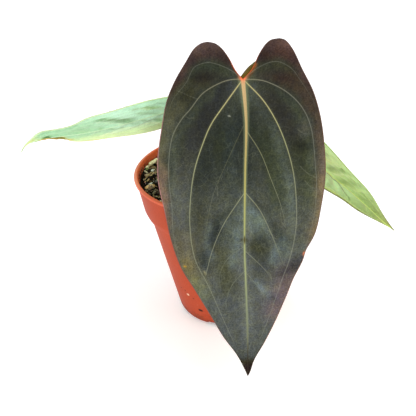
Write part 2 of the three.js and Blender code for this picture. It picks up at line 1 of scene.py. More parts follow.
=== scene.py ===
# Potted anthurium hybrid: the fine form and the finish of every piece, built round the packed
# solids. Lengths are millimetres and angles degrees; the places in the finishes and the studio are
# metres. A leaf point is given as a across its midrib, b along it from the stalk and n off its
# velvety face.

import math
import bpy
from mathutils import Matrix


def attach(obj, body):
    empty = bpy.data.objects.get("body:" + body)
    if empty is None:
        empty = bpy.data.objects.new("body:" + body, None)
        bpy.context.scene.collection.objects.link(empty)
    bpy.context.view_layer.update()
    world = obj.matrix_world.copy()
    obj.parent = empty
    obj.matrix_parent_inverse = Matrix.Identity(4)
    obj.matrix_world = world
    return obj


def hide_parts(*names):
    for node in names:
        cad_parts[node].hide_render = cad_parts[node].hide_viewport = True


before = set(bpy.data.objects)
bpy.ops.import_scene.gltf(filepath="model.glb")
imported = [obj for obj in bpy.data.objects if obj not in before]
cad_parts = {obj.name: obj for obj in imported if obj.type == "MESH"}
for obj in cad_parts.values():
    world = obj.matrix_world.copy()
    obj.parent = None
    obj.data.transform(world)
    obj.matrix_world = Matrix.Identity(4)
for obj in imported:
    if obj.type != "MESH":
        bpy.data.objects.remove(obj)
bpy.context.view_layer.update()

from types import SimpleNamespace

import bmesh
import bpy
import numpy as np
from mathutils import Matrix, Vector

MM = 0.001
RAD = math.pi / 180
FAR = 1e3  # stands for nothing near
CLEARANCE = 0.3  # between neighbouring pieces, as in the solids
DARKEST = 0.004  # least linear light in a colour attribute
DROOP_START = 0.72  # share of a leaf's length from which its tip droops more
MIDRIB_STEP = 0.5  # a midrib is walked in steps of this length,
MIDRIB_BEHIND, MIDRIB_AHEAD = 30, 5  # to this far behind the hub and beyond the tip
RIM_BULGE = 0.4  # how far a blade's rim stands out, as a share of its thickness
TEXTURE_GAP = 40  # keeps the textures of a leaf's halves, or of two scale leaves, apart
OUTWARD = (-1, 1)  # which way a grows in each half of a leaf
VEIN_STEPS = 8  # line pieces between two points of a vein
VEIN_TAIL = SimpleNamespace(length=60, half_width=0.02)  # carries a vein's line on past its end

# Camera: found from the pot's lip, step and base in the photograph
CAMERA = SimpleNamespace(eye=(-9.7, -352.0, 268.3), pitch=30.1, roll=-3.7, focal=700, frame=416)
SENSOR = 36

# Studio: each light's place, what it faces, its width and its power
LIGHTS = {
    "key": ((0.8, -0.8, 1.5), (0, 0, 0.08), 1.1, 10.4),
    "fill": ((0.1, -1.5, 0.14), (0, 0, 0.12), 1.1, 7.4),
    "rim": ((-0.5, 1.2, 1.0), (0, 0, 0.1), 0.9, 3.5),
}
WORLD_STRENGTH = 0.84
FLOOR_REACH = 4000

# Pot
POT = SimpleNamespace(
    height=90, lip_radius=50, lip_height=1.8, lip_thickness=2.1,
    collar_top=48.8, collar_foot=46.2, collar_foot_height=71,
    body_top=43.1, body_top_height=66.4, base_radius=30.2,
    corner=3.6, wall=1.1, floor=1.5, segments=192,
    slots=8, slot_width=6.5, slot_reach=3, slot_height=3.4,
    profile_step=2.2, out_of_round=0.12,
)

# Specks on the pot: centre, reach across and up, and colour
POT_SPECKS = [
    ((-17.5, -26.5, 11.1), (1.9, 1), (46, 22, 12)),
    ((-24.3, -23.4, 20.8), (1.1, 0.9), (240, 212, 180)),
    ((-27.9, -20, 23.6), (0.8, 0.65), (92, 36, 20)),
    ((-25.6, -22.8, 23.3), (0.8, 0.6), (104, 42, 24)),
    ((-21.2, -25.9, 19.5), (0.9, 0.5), (90, 36, 20)),
]

# Growing mix
MIX = SimpleNamespace(
    surface=83.6, relief=1.1, slope=1.2, gap=1.4,
    chips=58, chip_length=(3.2, 6.8), chip_inner=13, chip_outer=43.5, seed=41,
    lump_share=0.35, lump_size=0.84, lean=0.6, small_beyond=41, small_scale=0.6,
    bits_seed=23, fibre_seed=77, bed_seeds=(3, 4, 5), fibre_width=(0.12, 0.34),
    mound=2.6, mound_at=(-44, 12), mound_reach=(16, 17), crumbs=1700, fibres=330,
    reach=45.6, wall=46, fibre_reach=44, rings=74, segments=240,
)
GOLDEN_ANGLE = 137.5
FULL_TURN = 6.28  # as the solids' chips are turned
CHIP_SHARP, POT_SHARP = 50, 40  # edges bent by more than this stay sharp

# Looks of the loose bits: dark tone, light tone and grain; and the share of each among the crumbs
CHIP_LOOKS = {
    "bark": ((40, 30, 24), (194, 166, 138), 0.7),
    "pale_bark": ((150, 128, 94), (255, 243, 208), 0.9),
    "charcoal": ((8, 8, 9), (52, 49, 48), 0.6),
    "perlite": ((176, 172, 166), (246, 244, 240), 0.5),
    "crumb": ((6, 5, 5), (80, 65, 56), 0.4),
    "moss": ((58, 70, 36), (136, 148, 94), 0.3),
    "tan": ((158, 112, 62), (252, 220, 164), 0.8),
}
FIBRE_LOOK = ((96, 72, 48), (200, 172, 128), 0.4)
CRUMB_SHARES = {"crumb": 0.34, "bark": 0.2, "pale_bark": 0.16, "charcoal": 0.14, "perlite": 0.07,
                "tan": 0.05, "moss": 0.04}

# Chips that the photograph shows at the left of the bed: kind, the two ends, width and height
SEEN_CHIPS = [
    ("pale_bark", (-42.8, 15.4), (-37.4, 22.6), 2.4, 1.7),
    ("pale_bark", (-44.2, 12.4), (-42, 14.8), 1.7, 1.2),
    ("tan", (-43.7, -9.8), (-41.3, -6.8), 2.2, 2.2),
    ("tan", (-42.2, -6.9), (-38.6, -6.7), 2, 2.2),
    ("bark", (-42, -9.2), (-39.2, -8.4), 2.6, 2.6),
    ("moss", (-43.8, 8.2), (-42.8, 9.8), 1.5, 1),
    ("perlite", (-45.1, -0.4), (-44.4, 0.6), 1, 0.8),
    ("perlite", (-41, 8.6), (-39.6, 9.6), 1.3, 1),
    ("bark", (-44.6, 3.4), (-41.4, 4.2), 1.6, 1.1),
]
SEEN_TWIGS = [((-44.1, -5.1), (-38.2, 4.9), 0.42), ((-44.8, -1.6), (-40, 6.4), 0.36)]
# Painted light: the chips and twigs listed above are coloured this much lighter, as they lie in
# the shade of the leaves and the pot's wall
SEEN_LIGHT_LIFT = 1.3

# Crown
CROWN = SimpleNamespace(
    x=0, y=2, foot=58, top=95.5, radius=7.2,
    scale_foot=86.2, scale_half_angle=46 * RAD, scale_thickness=0.5,
    root_radius=1.7, root_reach=17, root_depth=68, roots=5, root_heading=28, root_turn=76,
)
SCALE_LEAVES = [(-24, 22), (96, 18), (212, 20)]

# Leaf stalks
STALK = SimpleNamespace(socket=89, base=2.55, middle=2.05, knee=2.3, knee_length=11, fit_length=7,
                        sunk=0.2, foot_share=0.25, swell=(0.7, 0.88), dent=0.07, dent_width=0.012,
                        rings=150, sides=28)

# Leaf blades
BLADE = SimpleNamespace(
    thickness=0.65, margin_thickness=0.4, quilting=0.85, quilt_width=4.2,
    midrib=0.95, vein=0.55, side_vein=0.25, rib_width=1.1, side_reach=1.3,
    calm_hub=(4.5, 10), calm_margin=5, pitting=0.1, pit_width=4.5,
)

# Outline of one half of a blade: first the inner edge of the lobe, from the stalk up, then the
# outer edge to the tip
FRONT_LEFT = {
    "inner": [(0, 0), (3.3, -4.2), (6.3, -10), (9.8, -14.9), (12.6, -17.2), (15.8, -18.2)],
    "outer": [(15.8, -18.2), (19.2, -17.6), (22.7, -15.2), (27.2, -8.4), (32.4, -0.2), (36.6, 9),
              (39.3, 22), (41, 35), (41.1, 47), (38.9, 60), (36, 75), (31.2, 88.6), (24.8, 99.6),
              (18.3, 111.7), (12, 123.6), (5, 133.6), (1.5, 141), (0, 145.1)],
}
FRONT_RIGHT = {
    "inner": [(0, 0), (3.9, -4.3), (7.8, -12.1), (10.8, -16.4), (13.2, -18.2), (16.2, -18.8)],
    "outer": [(16.2, -18.8), (19.6, -17.9), (23.1, -13.7), (27.6, -4.3), (32.7, 6), (35.8, 17.5),
              (37.4, 32), (37.8, 46), (36, 60), (33.2, 71.9), (28.9, 80.5), (27.4, 85.4),
              (22.9, 93.3), (18.9, 103.7), (13.8, 115.8), (8.6, 126.1), (3.4, 135.5),
              (1.2, 142.4), (0, 145.1)],
}
LEFT_LOBE = [(0, 0), (2.6, -3.6), (5, -8), (8, -11), (12.2, -13)]
LEFT_NEAR = {
    "inner": LEFT_LOBE,
    "outer": [(12.2, -13), (15.2, -12.2), (17.8, -8), (20.8, 0), (25, 11), (31.2, 21.4),
              (34, 30.5), (32.2, 41), (27, 53.5), (20.6, 65), (18.2, 76), (16.8, 84), (12, 91),
              (7.6, 97), (5.3, 102), (3, 107.5), (0, 113.9)],
}
LEFT_FAR = {
    "inner": LEFT_LOBE,
    "outer": [(12.2, -13), (15.2, -12.2), (18.6, -8), (22, -1), (26, 9), (29, 20), (29.1, 32.6),
              (26.8, 45), (25.2, 57.1), (22.8, 67.5), (19.2, 76), (14, 83), (10.5, 84.5), (7, 86),
              (6.7, 88), (3.4, 91), (0.4, 94.5), (-0.4, 98), (-2.4, 101.5), (-1.8, 107.5),
              (0, 113.9)],
}
RIGHT_LOBE = [(0, 0), (2.4, -2.8), (4.6, -5.9), (7.6, -8.1), (11.5, -8.9)]
RIGHT_NEAR = {
    "inner": RIGHT_LOBE,
    "outer": [(11.5, -8.9), (15.2, -8.3), (19, -5.4), (24, 1.8), (30, 14), (33.7, 27), (34.6, 39),
              (31.4, 53.5), (26.6, 68.5), (19.3, 85.7), (14.7, 95), (9.3, 105.3), (4.4, 115.5),
              (1.2, 122.8), (0, 126.1)],
}
RIGHT_FAR = {
    "inner": RIGHT_LOBE,
    "outer": [(11.5, -8.9), (15.2, -8.3), (19, -5.4), (24, 1.8), (30, 14), (33.6, 27), (34, 39),
              (32.3, 54), (27.6, 70.5), (21.9, 82.5), (15.8, 92.5), (11.6, 103.6), (6, 113.7),
              (1.3, 122.6), (0, 126.1)],
}

# Veins of one half of the front blade, from the stalk or the midrib outwards. Each has its
# half width at the start and how strongly it shows at the start, the middle and the end.
VEINS_LEFT = {
    "main": [
        (0.25, (0.9, 0.62, 0.4), [(0, 0), (8.1, 10.9), (15.1, 20.7), (19.7, 31.1), (23.4, 42.4),
                                 (25.4, 54.4), (26.2, 68.5), (24.2, 84.2), (17.8, 98),
                                 (10.9, 115.8), (5.8, 128.4)]),
        (0.21, (0.42, 0.36, 0.22), [(0, 0), (5.5, 0.1), (9.9, 1.2), (18.7, 5.9), (24.9, 13.2),
                                 (29.1, 17.7), (33.7, 25.8), (35.8, 42.2), (34.8, 59.5),
                                 (34.5, 73.4), (31.5, 86.1)]),
        (0.18, (0.2, 0.17, 0.08), [(0, 0), (6.7, -5), (15.5, -8.3), (19.9, -7.7), (23.1, -6),
                                  (26.6, 0.5), (33.5, 8.7), (37.1, 19.3)]),
    ],
    "side": [
        (0.16, (0.1, 0.15, 0.25), [(0, 21.8), (8.5, 39.5), (14.7, 53.8), (19.6, 74.5)]),
        (0.22, (0.5, 0.55, 0.75), [(0, 52.8), (9.7, 67.1), (15.3, 79.3), (19.3, 93)]),
        (0.17, (0.25, 0.25, 0.15), [(0, 77.9), (7.4, 83), (12.5, 92.1), (12, 100.6)]),
        (0.17, (0.3, 0.3, 0.15), [(0, 89.6), (7, 97.8), (11, 109.3)]),
        (0.16, (0.3, 0.3, 0.1), [(0, 113.8), (3.3, 117.4), (5.8, 121.7)]),
    ],
}
VEINS_RIGHT = {
    "main": [
        (0.22, (0.92, 0.48, 0.26), [(0, 0), (9.3, 10.1), (15.3, 20.1), (19.5, 30.6), (22.5, 41.9),
                                 (23.9, 53.1), (24, 68.3), (21.3, 83), (17.3, 93.9), (13.6, 105),
                                 (8, 120.8), (4.8, 128)]),
        (0.2, (0.42, 0.28, 0.18), [(0, 0), (7.5, 0.6), (11.8, 1.8), (20.4, 6.5), (27.1, 13.4),
                                  (31, 22.2), (33, 40.2), (33.6, 51.4), (31.9, 67.1),
                                  (28, 79.4)]),
        (0.18, (0.2, 0.15, 0.07), [(0, 0), (8.2, -5.8), (15.6, -7.9), (22.4, -4.6), (26.6, 1),
                                   (32.1, 9.7), (34, 14.9)]),
    ],
    "side": [
        (0.19, (0.35, 0.42, 0.3), [(0, 21.8), (7.7, 34.2), (12.5, 46.7), (16.8, 58.6),
                                   (19.2, 69.6)]),
        (0.22, (0.5, 0.45, 0.3), [(0, 52.1), (6.9, 60.7), (11.9, 71.3), (18.2, 88.1)]),
        (0.19, (0.42, 0.38, 0.2), [(0, 80.4), (9.1, 89.6), (14, 97.4)]),
        (0.17, (0.3, 0.3, 0.15), [(0, 90.6), (6.6, 99.1), (9.4, 103.6)]),
        (0.16, (0.3, 0.3, 0.1), [(0, 115.8), (3.9, 120), (5.8, 124.2)]),
    ],
}

# Short cross veins of the front blade that show by themselves, as signed a and b
CROSS_VEINS = [
    [(-31.2, 4.2), (-26.5, 6.4), (-21.5, 8.6)],
    [(-27.5, 16.2), (-25.2, 17.6), (-22.8, 17.2)],
    [(-35.6, 42), (-31.5, 41.2), (-28.3, 38.5)],
    [(-9.7, 44.5), (-12.6, 49.5), (-12.2, 55.6)],
    [(-7, 97.8), (-4.2, 92.5), (-2.6, 87.5)],
    [(-13.5, 73.5), (-10.6, 66.2), (-8.3, 63.5)],
    [(31.6, 26.5), (27.5, 25.6), (24.8, 23.8)],
    [(33.4, 46.3), (29.5, 44.2), (25.8, 40.6)],
    [(33.2, 51.5), (30.4, 50.2), (27.9, 47.3)],
    [(19.2, 69.6), (17.1, 66.4), (16.8, 62.4)],
    [(14, 74.5), (10.4, 70.2), (6.5, 68.4)],
    [(9.1, 89.6), (11.8, 92.3), (12.1, 96.8)],
]

# Colour of the veins and the midrib of the velvety face along the blade
VEIN_STOPS = [(-8, (118, 114, 100)), (0, (176, 164, 112)), (14, (174, 168, 116)),
              (30, (162, 162, 116)), (50, (150, 152, 118)), (80, (140, 142, 116)),
              (110, (122, 128, 108)), (128, (104, 104, 86)), (136, (50, 42, 30))]
MIDRIB_STOPS = [(0, (206, 140, 100)), (3, (192, 160, 114)), (14, (178, 154, 106)),
                (30, (170, 150, 94)), (52, (162, 156, 90)), (72.5, (150, 154, 98)),
                (74.2, (84, 76, 42)), (75.8, (84, 76, 42)), (77.5, (150, 154, 104)),
                (95, (142, 148, 106)), (112, (122, 128, 102)), (126, (104, 104, 82)),
                (133, (50, 42, 30))]

# Light that the velvet's gloss adds everywhere, as linear light
VELVET_GLOSS = 0.012

# Lightness of the velvet of the large leaf along it, partly its own tone and partly painted sheen
# that lightens its lower half; and for the brown rim of each half its own lightness, its hue at
# the lobe and at the middle, and where that changes
VELVET_LEVEL = ((-14, -8, 0, 12, 25, 38, 48, 58, 70, 85, 100, 115, 126, 134, 142),
                (58, 53, 50, 55, 56, 57, 65, 73, 76, 82, 80, 80, 79, 72, 44))
FRONT_RIM = [
    ((-10, 8, 22, 50, 80, 96), (60, 67, 84, 99, 79, 80),
     (1, 1, 0.81), (1.21, 0.99, 0.84), (28, 50)),
    ((-10, 8, 24, 36, 50, 80, 96), (52, 54, 66, 86, 94, 84, 82),
     (1.14, 0.97, 0.84), (1.13, 0.99, 0.86), (10, 50)),
]

# Painted light and shade of the quilted panels beside the veins of the large leaf, where its
# velvet
# lightens or darkens: half of the blade, vein, reach beyond that vein, stretch along the blade,
# and the gain of each colour
FRONT_SHADING_BANDS = [
    (0, "main", 0, (-14, -0.5), (18, 48), (0.9, 0.92, 0.96)),
    (0, "main", 0, (-9, -0.5), (40, 60), (0.9, 0.9, 0.9)),
    (0, "main", 0, (0.4, 7), (-4, 34), (0.88, 0.86, 0.94)),
    (0, "main", 0, (1.5, 10), (36, 84), (1.12, 1.1, 1.13)),
    (0, "main", 1, (-4.5, -0.3), (6, 58), (1.12, 1.14, 1.12)),
    (0, "main", 2, (-3, -0.3), (-14, 12), (1.08, 1.12, 1.04)),
    (0, "side", 1, (-9, -0.4), (56, 78), (1.05, 1.08, 1.08)),
    (0, "side", 1, (0.4, 3), (60, 90), (0.8, 0.83, 0.86)),
    (1, "main", 0, (-5, -0.4), (16, 88), (1.12, 1.16, 1.17)),
    (1, "main", 0, (-13, -5), (22, 60), (0.93, 0.96, 0.88)),
    (1, "main", 0, (0.4, 7), (4, 30), (0.92, 0.88, 0.92)),
    (1, "main", 0, (1, 8), (30, 56), (0.97, 0.98, 0.9)),
    (1, "main", 1, (-4.5, -0.3), (6, 58), (1.08, 1.1, 1.04)),
    (1, "main", 2, (-3, -0.3), (-14, 10), (1.12, 1.12, 1.04)),
    (1, "side", 1, (-9, -0.4), (56, 76), (1.08, 1.12, 1.12)),
    (1, "side", 1, (0.4, 4), (58, 84), (0.84, 0.84, 0.84)),
]

# Rounder light and dark patches of the large leaf, partly its own mottling and partly painted
# light
# and shade of its quilting: centre, reach and gain
FRONT_PATCHES = [
    ((-18.5, -1), (7, 3), (0.82, 0.77, 0.82)), ((28.5, 23), (3, 4), (1.2, 1.14, 1.22)),
    ((-15, 8), (3, 3), 1.06), ((20, -0.5), (8, 2.8), (0.95, 0.86, 0.9)),
    ((-9, -9), (4, 5), 0.94), ((10, -10), (4, 5), 0.86),
    ((26.5, 31), (4, 2.6), 0.82), ((-26, 7), (4.5, 5), 0.78),
    ((0.5, 4), (8, 8), (1.42, 1.46, 1.46)), ((-5, 36), (5, 20), (0.96, 1, 1.05)),
    ((3, 32), (3, 26), (0.98, 1, 1.04)), ((-21, 66), (3.5, 9), (0.86, 0.84, 0.78)),
    ((9, 65), (3.5, 4), (1.2, 1.22, 1.22)), ((-13, 71), (3, 6.5), 0.72),
    ((-20.5, 86), (3, 5), 0.78), ((-12, 86), (5, 7), 0.88),
    ((6.5, 78.5), (4.2, 4.2), 0.72), ((26, 89), (4, 3), 0.86),
    ((10, 90), (6, 5), 0.88), ((14, 78), (3, 5), 1.08),
    ((-7, 84), (2.5, 7), 1.12), ((10, 99), (5, 5), 1.1),
    ((-24, 60), (5, 14), 1.04), ((-8, 94), (4, 6), 0.9),
    ((8, 84), (7, 4), 0.86), ((21, 69), (5, 6), (1, 0.97, 0.95)),
    ((-6, 74), (3, 2.6), 0.84), ((8, 75), (4.5, 3), 0.84),
    ((20, 75), (3, 2.6), (0.82, 0.8, 0.76)), ((2.6, 96), (2, 6), 0.9),
    ((-15, 80), (3, 3), (0.94, 0.9, 0.86)), ((15, 37), (3, 10), (1.22, 1.22, 1.2)),
    ((-24, 32), (4, 9), 1.1), ((21, 52), (3, 14), 1.08),
    ((32, 39), (3, 4), 1.12), ((33, 49), (3, 5), 0.92),
    ((3, 72), (2.5, 4), 1.12), ((6, 9), (4, 4), 1.1),
    ((-22, -15), (4, 3.5), 1.24), ((22, -15), (4, 4), 1.22),
    ((-15, -18.5), (5, 2), 1.12), ((-27.5, -5), (3, 6), 1.16),
    ((28, -2), (3, 5), 1.16), ((-34, 28), (3, 9), 1.16),
    ((-33, 76), (4, 8), 0.9), ((-11, 30), (4, 9), (1, 1, 0.9)),
    ((20, -12), (8, 7), (1.06, 0.99, 0.96)),
]

# Strokes of colour on the velvet and on the two pale faces: width, share, colour and line
# On the large leaf the grey-blue strokes are painted highlights of the quilting and the darkest
# ones painted shade in its hollows
FRONT_STROKES = [
    (7, 0.45, (104, 94, 66), [(-30, 78), (-28, 86), (-25.5, 92)]),
    (3, 0.3, (120, 104, 60), [(-28.5, 86), (-27, 91), (-25, 95)]),
    (4.5, 0.5, (108, 112, 82), [(-24, 96), (-21, 102)]),
    (6, 0.62, (108, 88, 91), [(20, 93), (17.5, 101), (14, 110)]),
    (3.5, 0.5, (122, 104, 76), [(36, 48), (35.4, 62), (32, 73)]),
    (0.5, 0.6, (160, 152, 112), [(-19.8, 90.4), (-19.3, 91.6)]),
    (4.2, 0.6, (68, 69, 50), [(-10.7, 82), (-10, 90), (-9, 97)]),
    (3.8, 0.65, (60, 61, 45), [(4.5, 78.5), (8, 80)]),
    (2.4, 0.4, (100, 114, 112), [(-3.4, 72), (-4.4, 79), (-6, 86)]),
    (2.2, 0.4, (104, 118, 116), [(3.4, 62), (7, 67)]),
    (2.2, 0.45, (98, 112, 112), [(17.5, 75.5), (14.5, 80.5), (12.5, 85)]),
    (1.6, 0.5, (104, 116, 120), [(4.8, 95.5), (8, 99.5), (11, 103)]),
    (3.4, 0.7, (56, 54, 57), [(17.5, 91), (22, 89), (27, 86)]),
    (2, 0.6, (64, 63, 68), [(12, 103), (13.5, 104.5)]),
    (2.6, 0.65, (56, 61, 60), [(-20.5, 83), (-19.4, 87.5)]),
    (1.8, 0.6, (58, 64, 60), [(15.5, 71), (17.5, 73.5)]),
    (1.8, 0.35, (94, 106, 106), [(-15.5, 83), (-18, 76), (-16.5, 68)]),
    (0.9, 0.6, (62, 58, 38), [(-1.4, 75), (0.5, 75)]),
    (1.4, 0.6, (52, 56, 54), [(-12.4, 66), (-14.4, 71), (-16.4, 75.5)]),
    (0.8, 0.65, (146, 84, 42), [(1.8, -1.2), (4.2, -3.6), (5.8, -6.6)]),
    (0.6, 0.55, (122, 64, 38), [(-1.8, -1.4), (-3.4, -3.8), (-5, -6.8)]),
    (0.38, 0.9, (190, 192, 184), [(-6.6, 17), (-6.5, 17)]),
    (0.5, 0.8, (186, 142, 44), [(-29.2, 88), (-28.8, 88)]),
    (0.7, 0.9, (240, 130, 90), [(28.2, 82.2), (27.9, 82.8)]),
]

# On the left leaf's pale face the darker green strokes are painted shade in the pockets of its
# quilting
LEFT_STROKES = [
    (4, 0.7, (128, 176, 126), [(18.5, 50), (13, 48), (8.5, 46.5), (4, 43.5), (0, 39)]),
    (2.1, 0.85, (208, 186, 92), [(-10, 82.5), (-6, 84.5), (-1.5, 86.5), (1.5, 90), (2.6, 94.5),
                                 (2.4, 99), (-0.5, 102)]),
    (2.8, 0.7, (112, 156, 102), [(18.5, 48), (15, 46), (10.5, 44.5), (6.5, 42.5), (4, 40.5)]),
    (1.4, 0.5, (92, 128, 78), [(14, 46.2), (10.5, 44.6), (8, 43.2)]),
    (2, 0.6, (136, 182, 126), [(-2.5, 36), (-8, 31.5), (-13, 26.5)]),
    (1.6, 0.5, (146, 190, 134), [(-2.5, 42), (-7, 41), (-7.5, 38)]),
    (1.5, 0.7, (128, 172, 112), [(0.5, 57.5), (-5.5, 54), (-8.5, 49)]),
    (1.7, 0.7, (142, 180, 104), [(23, 27.5), (17, 23.5), (12, 19.5)]),
    (1.8, 0.5, (150, 192, 136), [(9.5, 30), (4, 25.5), (-2.5, 21.5)]),
    (2.4, 0.4, (156, 196, 136), [(6.5, 73), (1.5, 67), (-4, 61.5)]),
    (0.9, 0.6, (222, 250, 206), [(4.5, 19), (18.5, 26.5), (21, 36.5), (22, 48)]),
    (0.9, 0.7, (230, 252, 200), [(-16, 26.5), (-11, 41), (-10.5, 48), (-15.5, 65)]),
    (1.4, 0.6, (214, 248, 206), [(15.5, 54), (7, 49), (-1.5, 43.5)]),
]
# On the right leaf's pale face the darker green strokes are painted shade in the pockets of its
# quilting
RIGHT_STROKES = [
    (2.2, 0.5, (138, 184, 112), [(-12, 53), (-17, 52.5)]),
    (2.5, 0.6, (122, 168, 98), [(-2, 65.5), (-11.5, 67.5), (-20, 68)]),
    (2.8, 0.6, (122, 164, 86), [(-2, 77.5), (-9.5, 79.5), (-17, 79.5)]),
    (2.4, 0.6, (126, 162, 80), [(-1.5, 92.5), (-8, 95.5), (-11, 95.5)]),
    (2, 0.55, (124, 150, 70), [(-1, 104.5), (-6, 107.5)]),
    (2.4, 0.6, (222, 255, 176), [(-6, 58), (-12, 60), (-18, 61)]),
    (1.2, 0.65, (214, 244, 180), [(-1.5, 71.2), (-11.5, 71.8), (-20, 73)]),
    (1.5, 0.5, (200, 234, 148), [(-5, 86), (-15, 87)]),
    (1.9, 0.45, (146, 190, 124), [(14, 79), (16, 82.5)]),
    (1.8, 0.45, (146, 188, 120), [(11, 88.3), (13, 91)]),
    (1.5, 0.4, (142, 182, 112), [(6.5, 99.5), (7.5, 102)]),
    (0.45, 0.85, (70, 116, 50), [(5.5, 69.5), (4, 75), (5, 81), (6.5, 88), (9, 93.5)]),
    (0.6, 0.9, (240, 246, 226), [(15.4, 85), (15.6, 85)]),
]

# A margin that isn't rolled
PLAIN_MARGIN = {"half": 1, "span": (900, 901, 902, 903), "radius": 1, "turn": 1,
                "start": [(0, 900), (1, 900)]}

# The three leaves, placed and bent as the solids are
LEAVES = {
    "front": {
        "hub": (10.3, -42, 156.3), "heading": -96.1, "sweep": 0, "dip": (58.3, 78.3), "droop": 0,
        "roll": 0, "twist": 0, "length": 145.1, "bend": (0.004, 0.004), "roll_over": PLAIN_MARGIN,
        "halves": (FRONT_LEFT, FRONT_RIGHT), "vein_scale": (1, 1),
        "midrib": [(0, 0), (1.3, 20), (0.6, 42), (0, 63), (-0.3, 80), (0, 97), (0.3, 122),
                   (0, 145.1)],
        "waves": (0.7, 3.2, 0.6),
        "fold": {"half": 1, "at": (28, 84), "reach": 6, "depth": 2.4},
        "stalk": [(0.5, -1.4), (1.5, -3, 104), (5, -8, 126), (11, -16, 143), (17, -22.5, 152)],
        "knee": [(7.4, -8.6, -9.4), (5, -6.2, -5.2), (2.3, -2.8, -3.4)],
        "grid": {"lobe_rows": 30, "rows": 236, "columns": 64},
    },
    "left": {
        "hub": (-12.1, 6.6, 128.8), "heading": 173.8, "sweep": -11.3, "dip": (19, 7.6),
        "droop": 35.6, "roll": 36.2, "twist": -0.9, "length": 113.9, "bend": (0.002, 0.004),
        "halves": (LEFT_FAR, LEFT_NEAR), "vein_scale": (0.72, 0.785),
        "midrib": [(0, 0), (0.6, 30), (0.2, 60), (1.5, 74), (3.5, 86), (4.6, 96), (3.9, 101),
                   (2.4, 107), (0, 113.9)],
        "waves": (0.45, 3.4, 2.1), "fold": None,
        "roll_over": {"half": 0, "span": (78, 81, 101, 104), "radius": 0.55, "turn": 168,
                      "start": [(80, 20), (83, 13.8), (84, 7.5), (86, 2.5), (88, -1), (91, -2.2),
                                (94.5, -2.8), (98, -3), (99.5, -2), (101, 1)]},
        "stalk": [(-3.2, 3.6), (-3.8, 2.6, 104), (-4.3, 1.4, 116)],
        "knee": [(0, -6.4, -8.2), (0, -2.6, -4.2)],
        "grid": {"lobe_rows": 24, "rows": 180, "columns": 50},
    },
    "right": {
        "hub": (21.8, 24.9, 125.9), "heading": -8.2, "sweep": 0, "dip": (52.4, 44), "droop": 0,
        "roll": -36.2, "twist": -10.4, "length": 126.1, "bend": (0.01, 0.006),
        "roll_over": PLAIN_MARGIN, "halves": (RIGHT_NEAR, RIGHT_FAR), "vein_scale": (0.83, 0.869),
        "midrib": [(0, 0), (1.5, 30), (2.4, 58), (1.2, 73), (-1, 82), (-2.1, 95), (-2, 108),
                   (0, 126.1)],
        "waves": (0.35, 3, 0.3), "fold": None,
        "stalk": [(3.2, 4.2), (4.4, 8, 104), (7, 14, 117)],
        "knee": [(0, -6.4, -8.2), (0, -2.6, -4.2)],
        "grid": {"lobe_rows": 24, "rows": 190, "columns": 50},
    },
}


# Small maths

def mix(a, b, t):
    return a + (b - a) * t


def smoothstep(low, high, x):
    t = np.clip((x - low) / (high - low), 0, 1)
    return t * t * (3 - 2 * t)


def bump_at(a, b, centre, reach):
    """A round hill of height 1 at centre, falling away over reach."""
    return np.exp(-((a - centre[0]) / reach[0]) ** 2 - ((b - centre[1]) / reach[1]) ** 2)


def linear(colour):
    """Display colour, 0 to 255, as linear light."""
    c = np.asarray(colour, float) / 255
    return np.where(c <= 0.04045, c / 12.92, ((c + 0.055) / 1.055) ** 2.4)


def rgba(*colour):
    return (*linear(colour), 1.0)


def round_angles(count):
    return np.arange(count) * 2 * np.pi / count


def seeded_random(seed):
    """The same draws as the solids' chips are placed by."""
    state = seed

    def draw():
        nonlocal state
        state = (state * 1664525 + 1013904223) % 4294967296
        return state / 4294967296

    return draw


def ripple(points, wavelength, seed, waves=14):
    """Smooth random relief between about -1 and 1: plane waves in random directions."""
    rng = np.random.default_rng(seed)
    p = np.atleast_2d(points)
    total = np.zeros(len(p))
    for _ in range(waves):
        direction = rng.normal(size=p.shape[1])
        direction /= np.linalg.norm(direction)
        length = wavelength * rng.uniform(0.7, 1.5)
        total += np.sin(p @ direction * 2 * np.pi / length + rng.uniform(0, 2 * np.pi))
    return total / math.sqrt(waves) * 0.9


# Lines

def curve_points(points, steps=24):
    """A centripetal Catmull-Rom spline through the points, as a dense polyline."""
    p = np.array(points, float)
    p = np.vstack([2 * p[0] - p[1], p, 2 * p[-1] - p[-2]])
    t = np.linspace(0, 1, steps, endpoint=False)[:, None]
    parts = []
    for p0, p1, p2, p3 in zip(p, p[1:], p[2:], p[3:]):
        d0, d1, d2 = (np.linalg.norm(q) ** 0.5 for q in (p1 - p0, p2 - p1, p3 - p2))
        start = ((p1 - p0) / d0 - (p2 - p0) / (d0 + d1) + (p2 - p1) / d1) * d1
        end = ((p2 - p1) / d1 - (p3 - p1) / (d1 + d2) + (p3 - p2) / d2) * d1
        square = 3 * (p2 - p1) - 2 * start - end
        cube = 2 * (p1 - p2) + start + end
        parts.append(p1 + t * start + t ** 2 * square + t ** 3 * cube)
    return np.vstack([*parts, p[-2:-1]])


class Line:
    """A smooth line through a few points, read by the share of its length."""

    def __init__(self, points):
        self.points = curve_points(points)
        lengths = np.linalg.norm(np.diff(self.points, axis=0), axis=1)
        self.reach = np.concatenate([[0], np.cumsum(lengths)])
        self.length = self.reach[-1]

    def at(self, share):
        wanted = np.asarray(share) * self.length
        return np.stack([np.interp(wanted, self.reach, column) for column in self.points.T], -1)


def carried_on(line):
    """The line of a vein with a straight tail, so that it has two sides past its end too."""
    ahead = line[-1] - line[-3]
    return np.vstack([line, line[-1] + ahead / np.linalg.norm(ahead) * VEIN_TAIL.length])


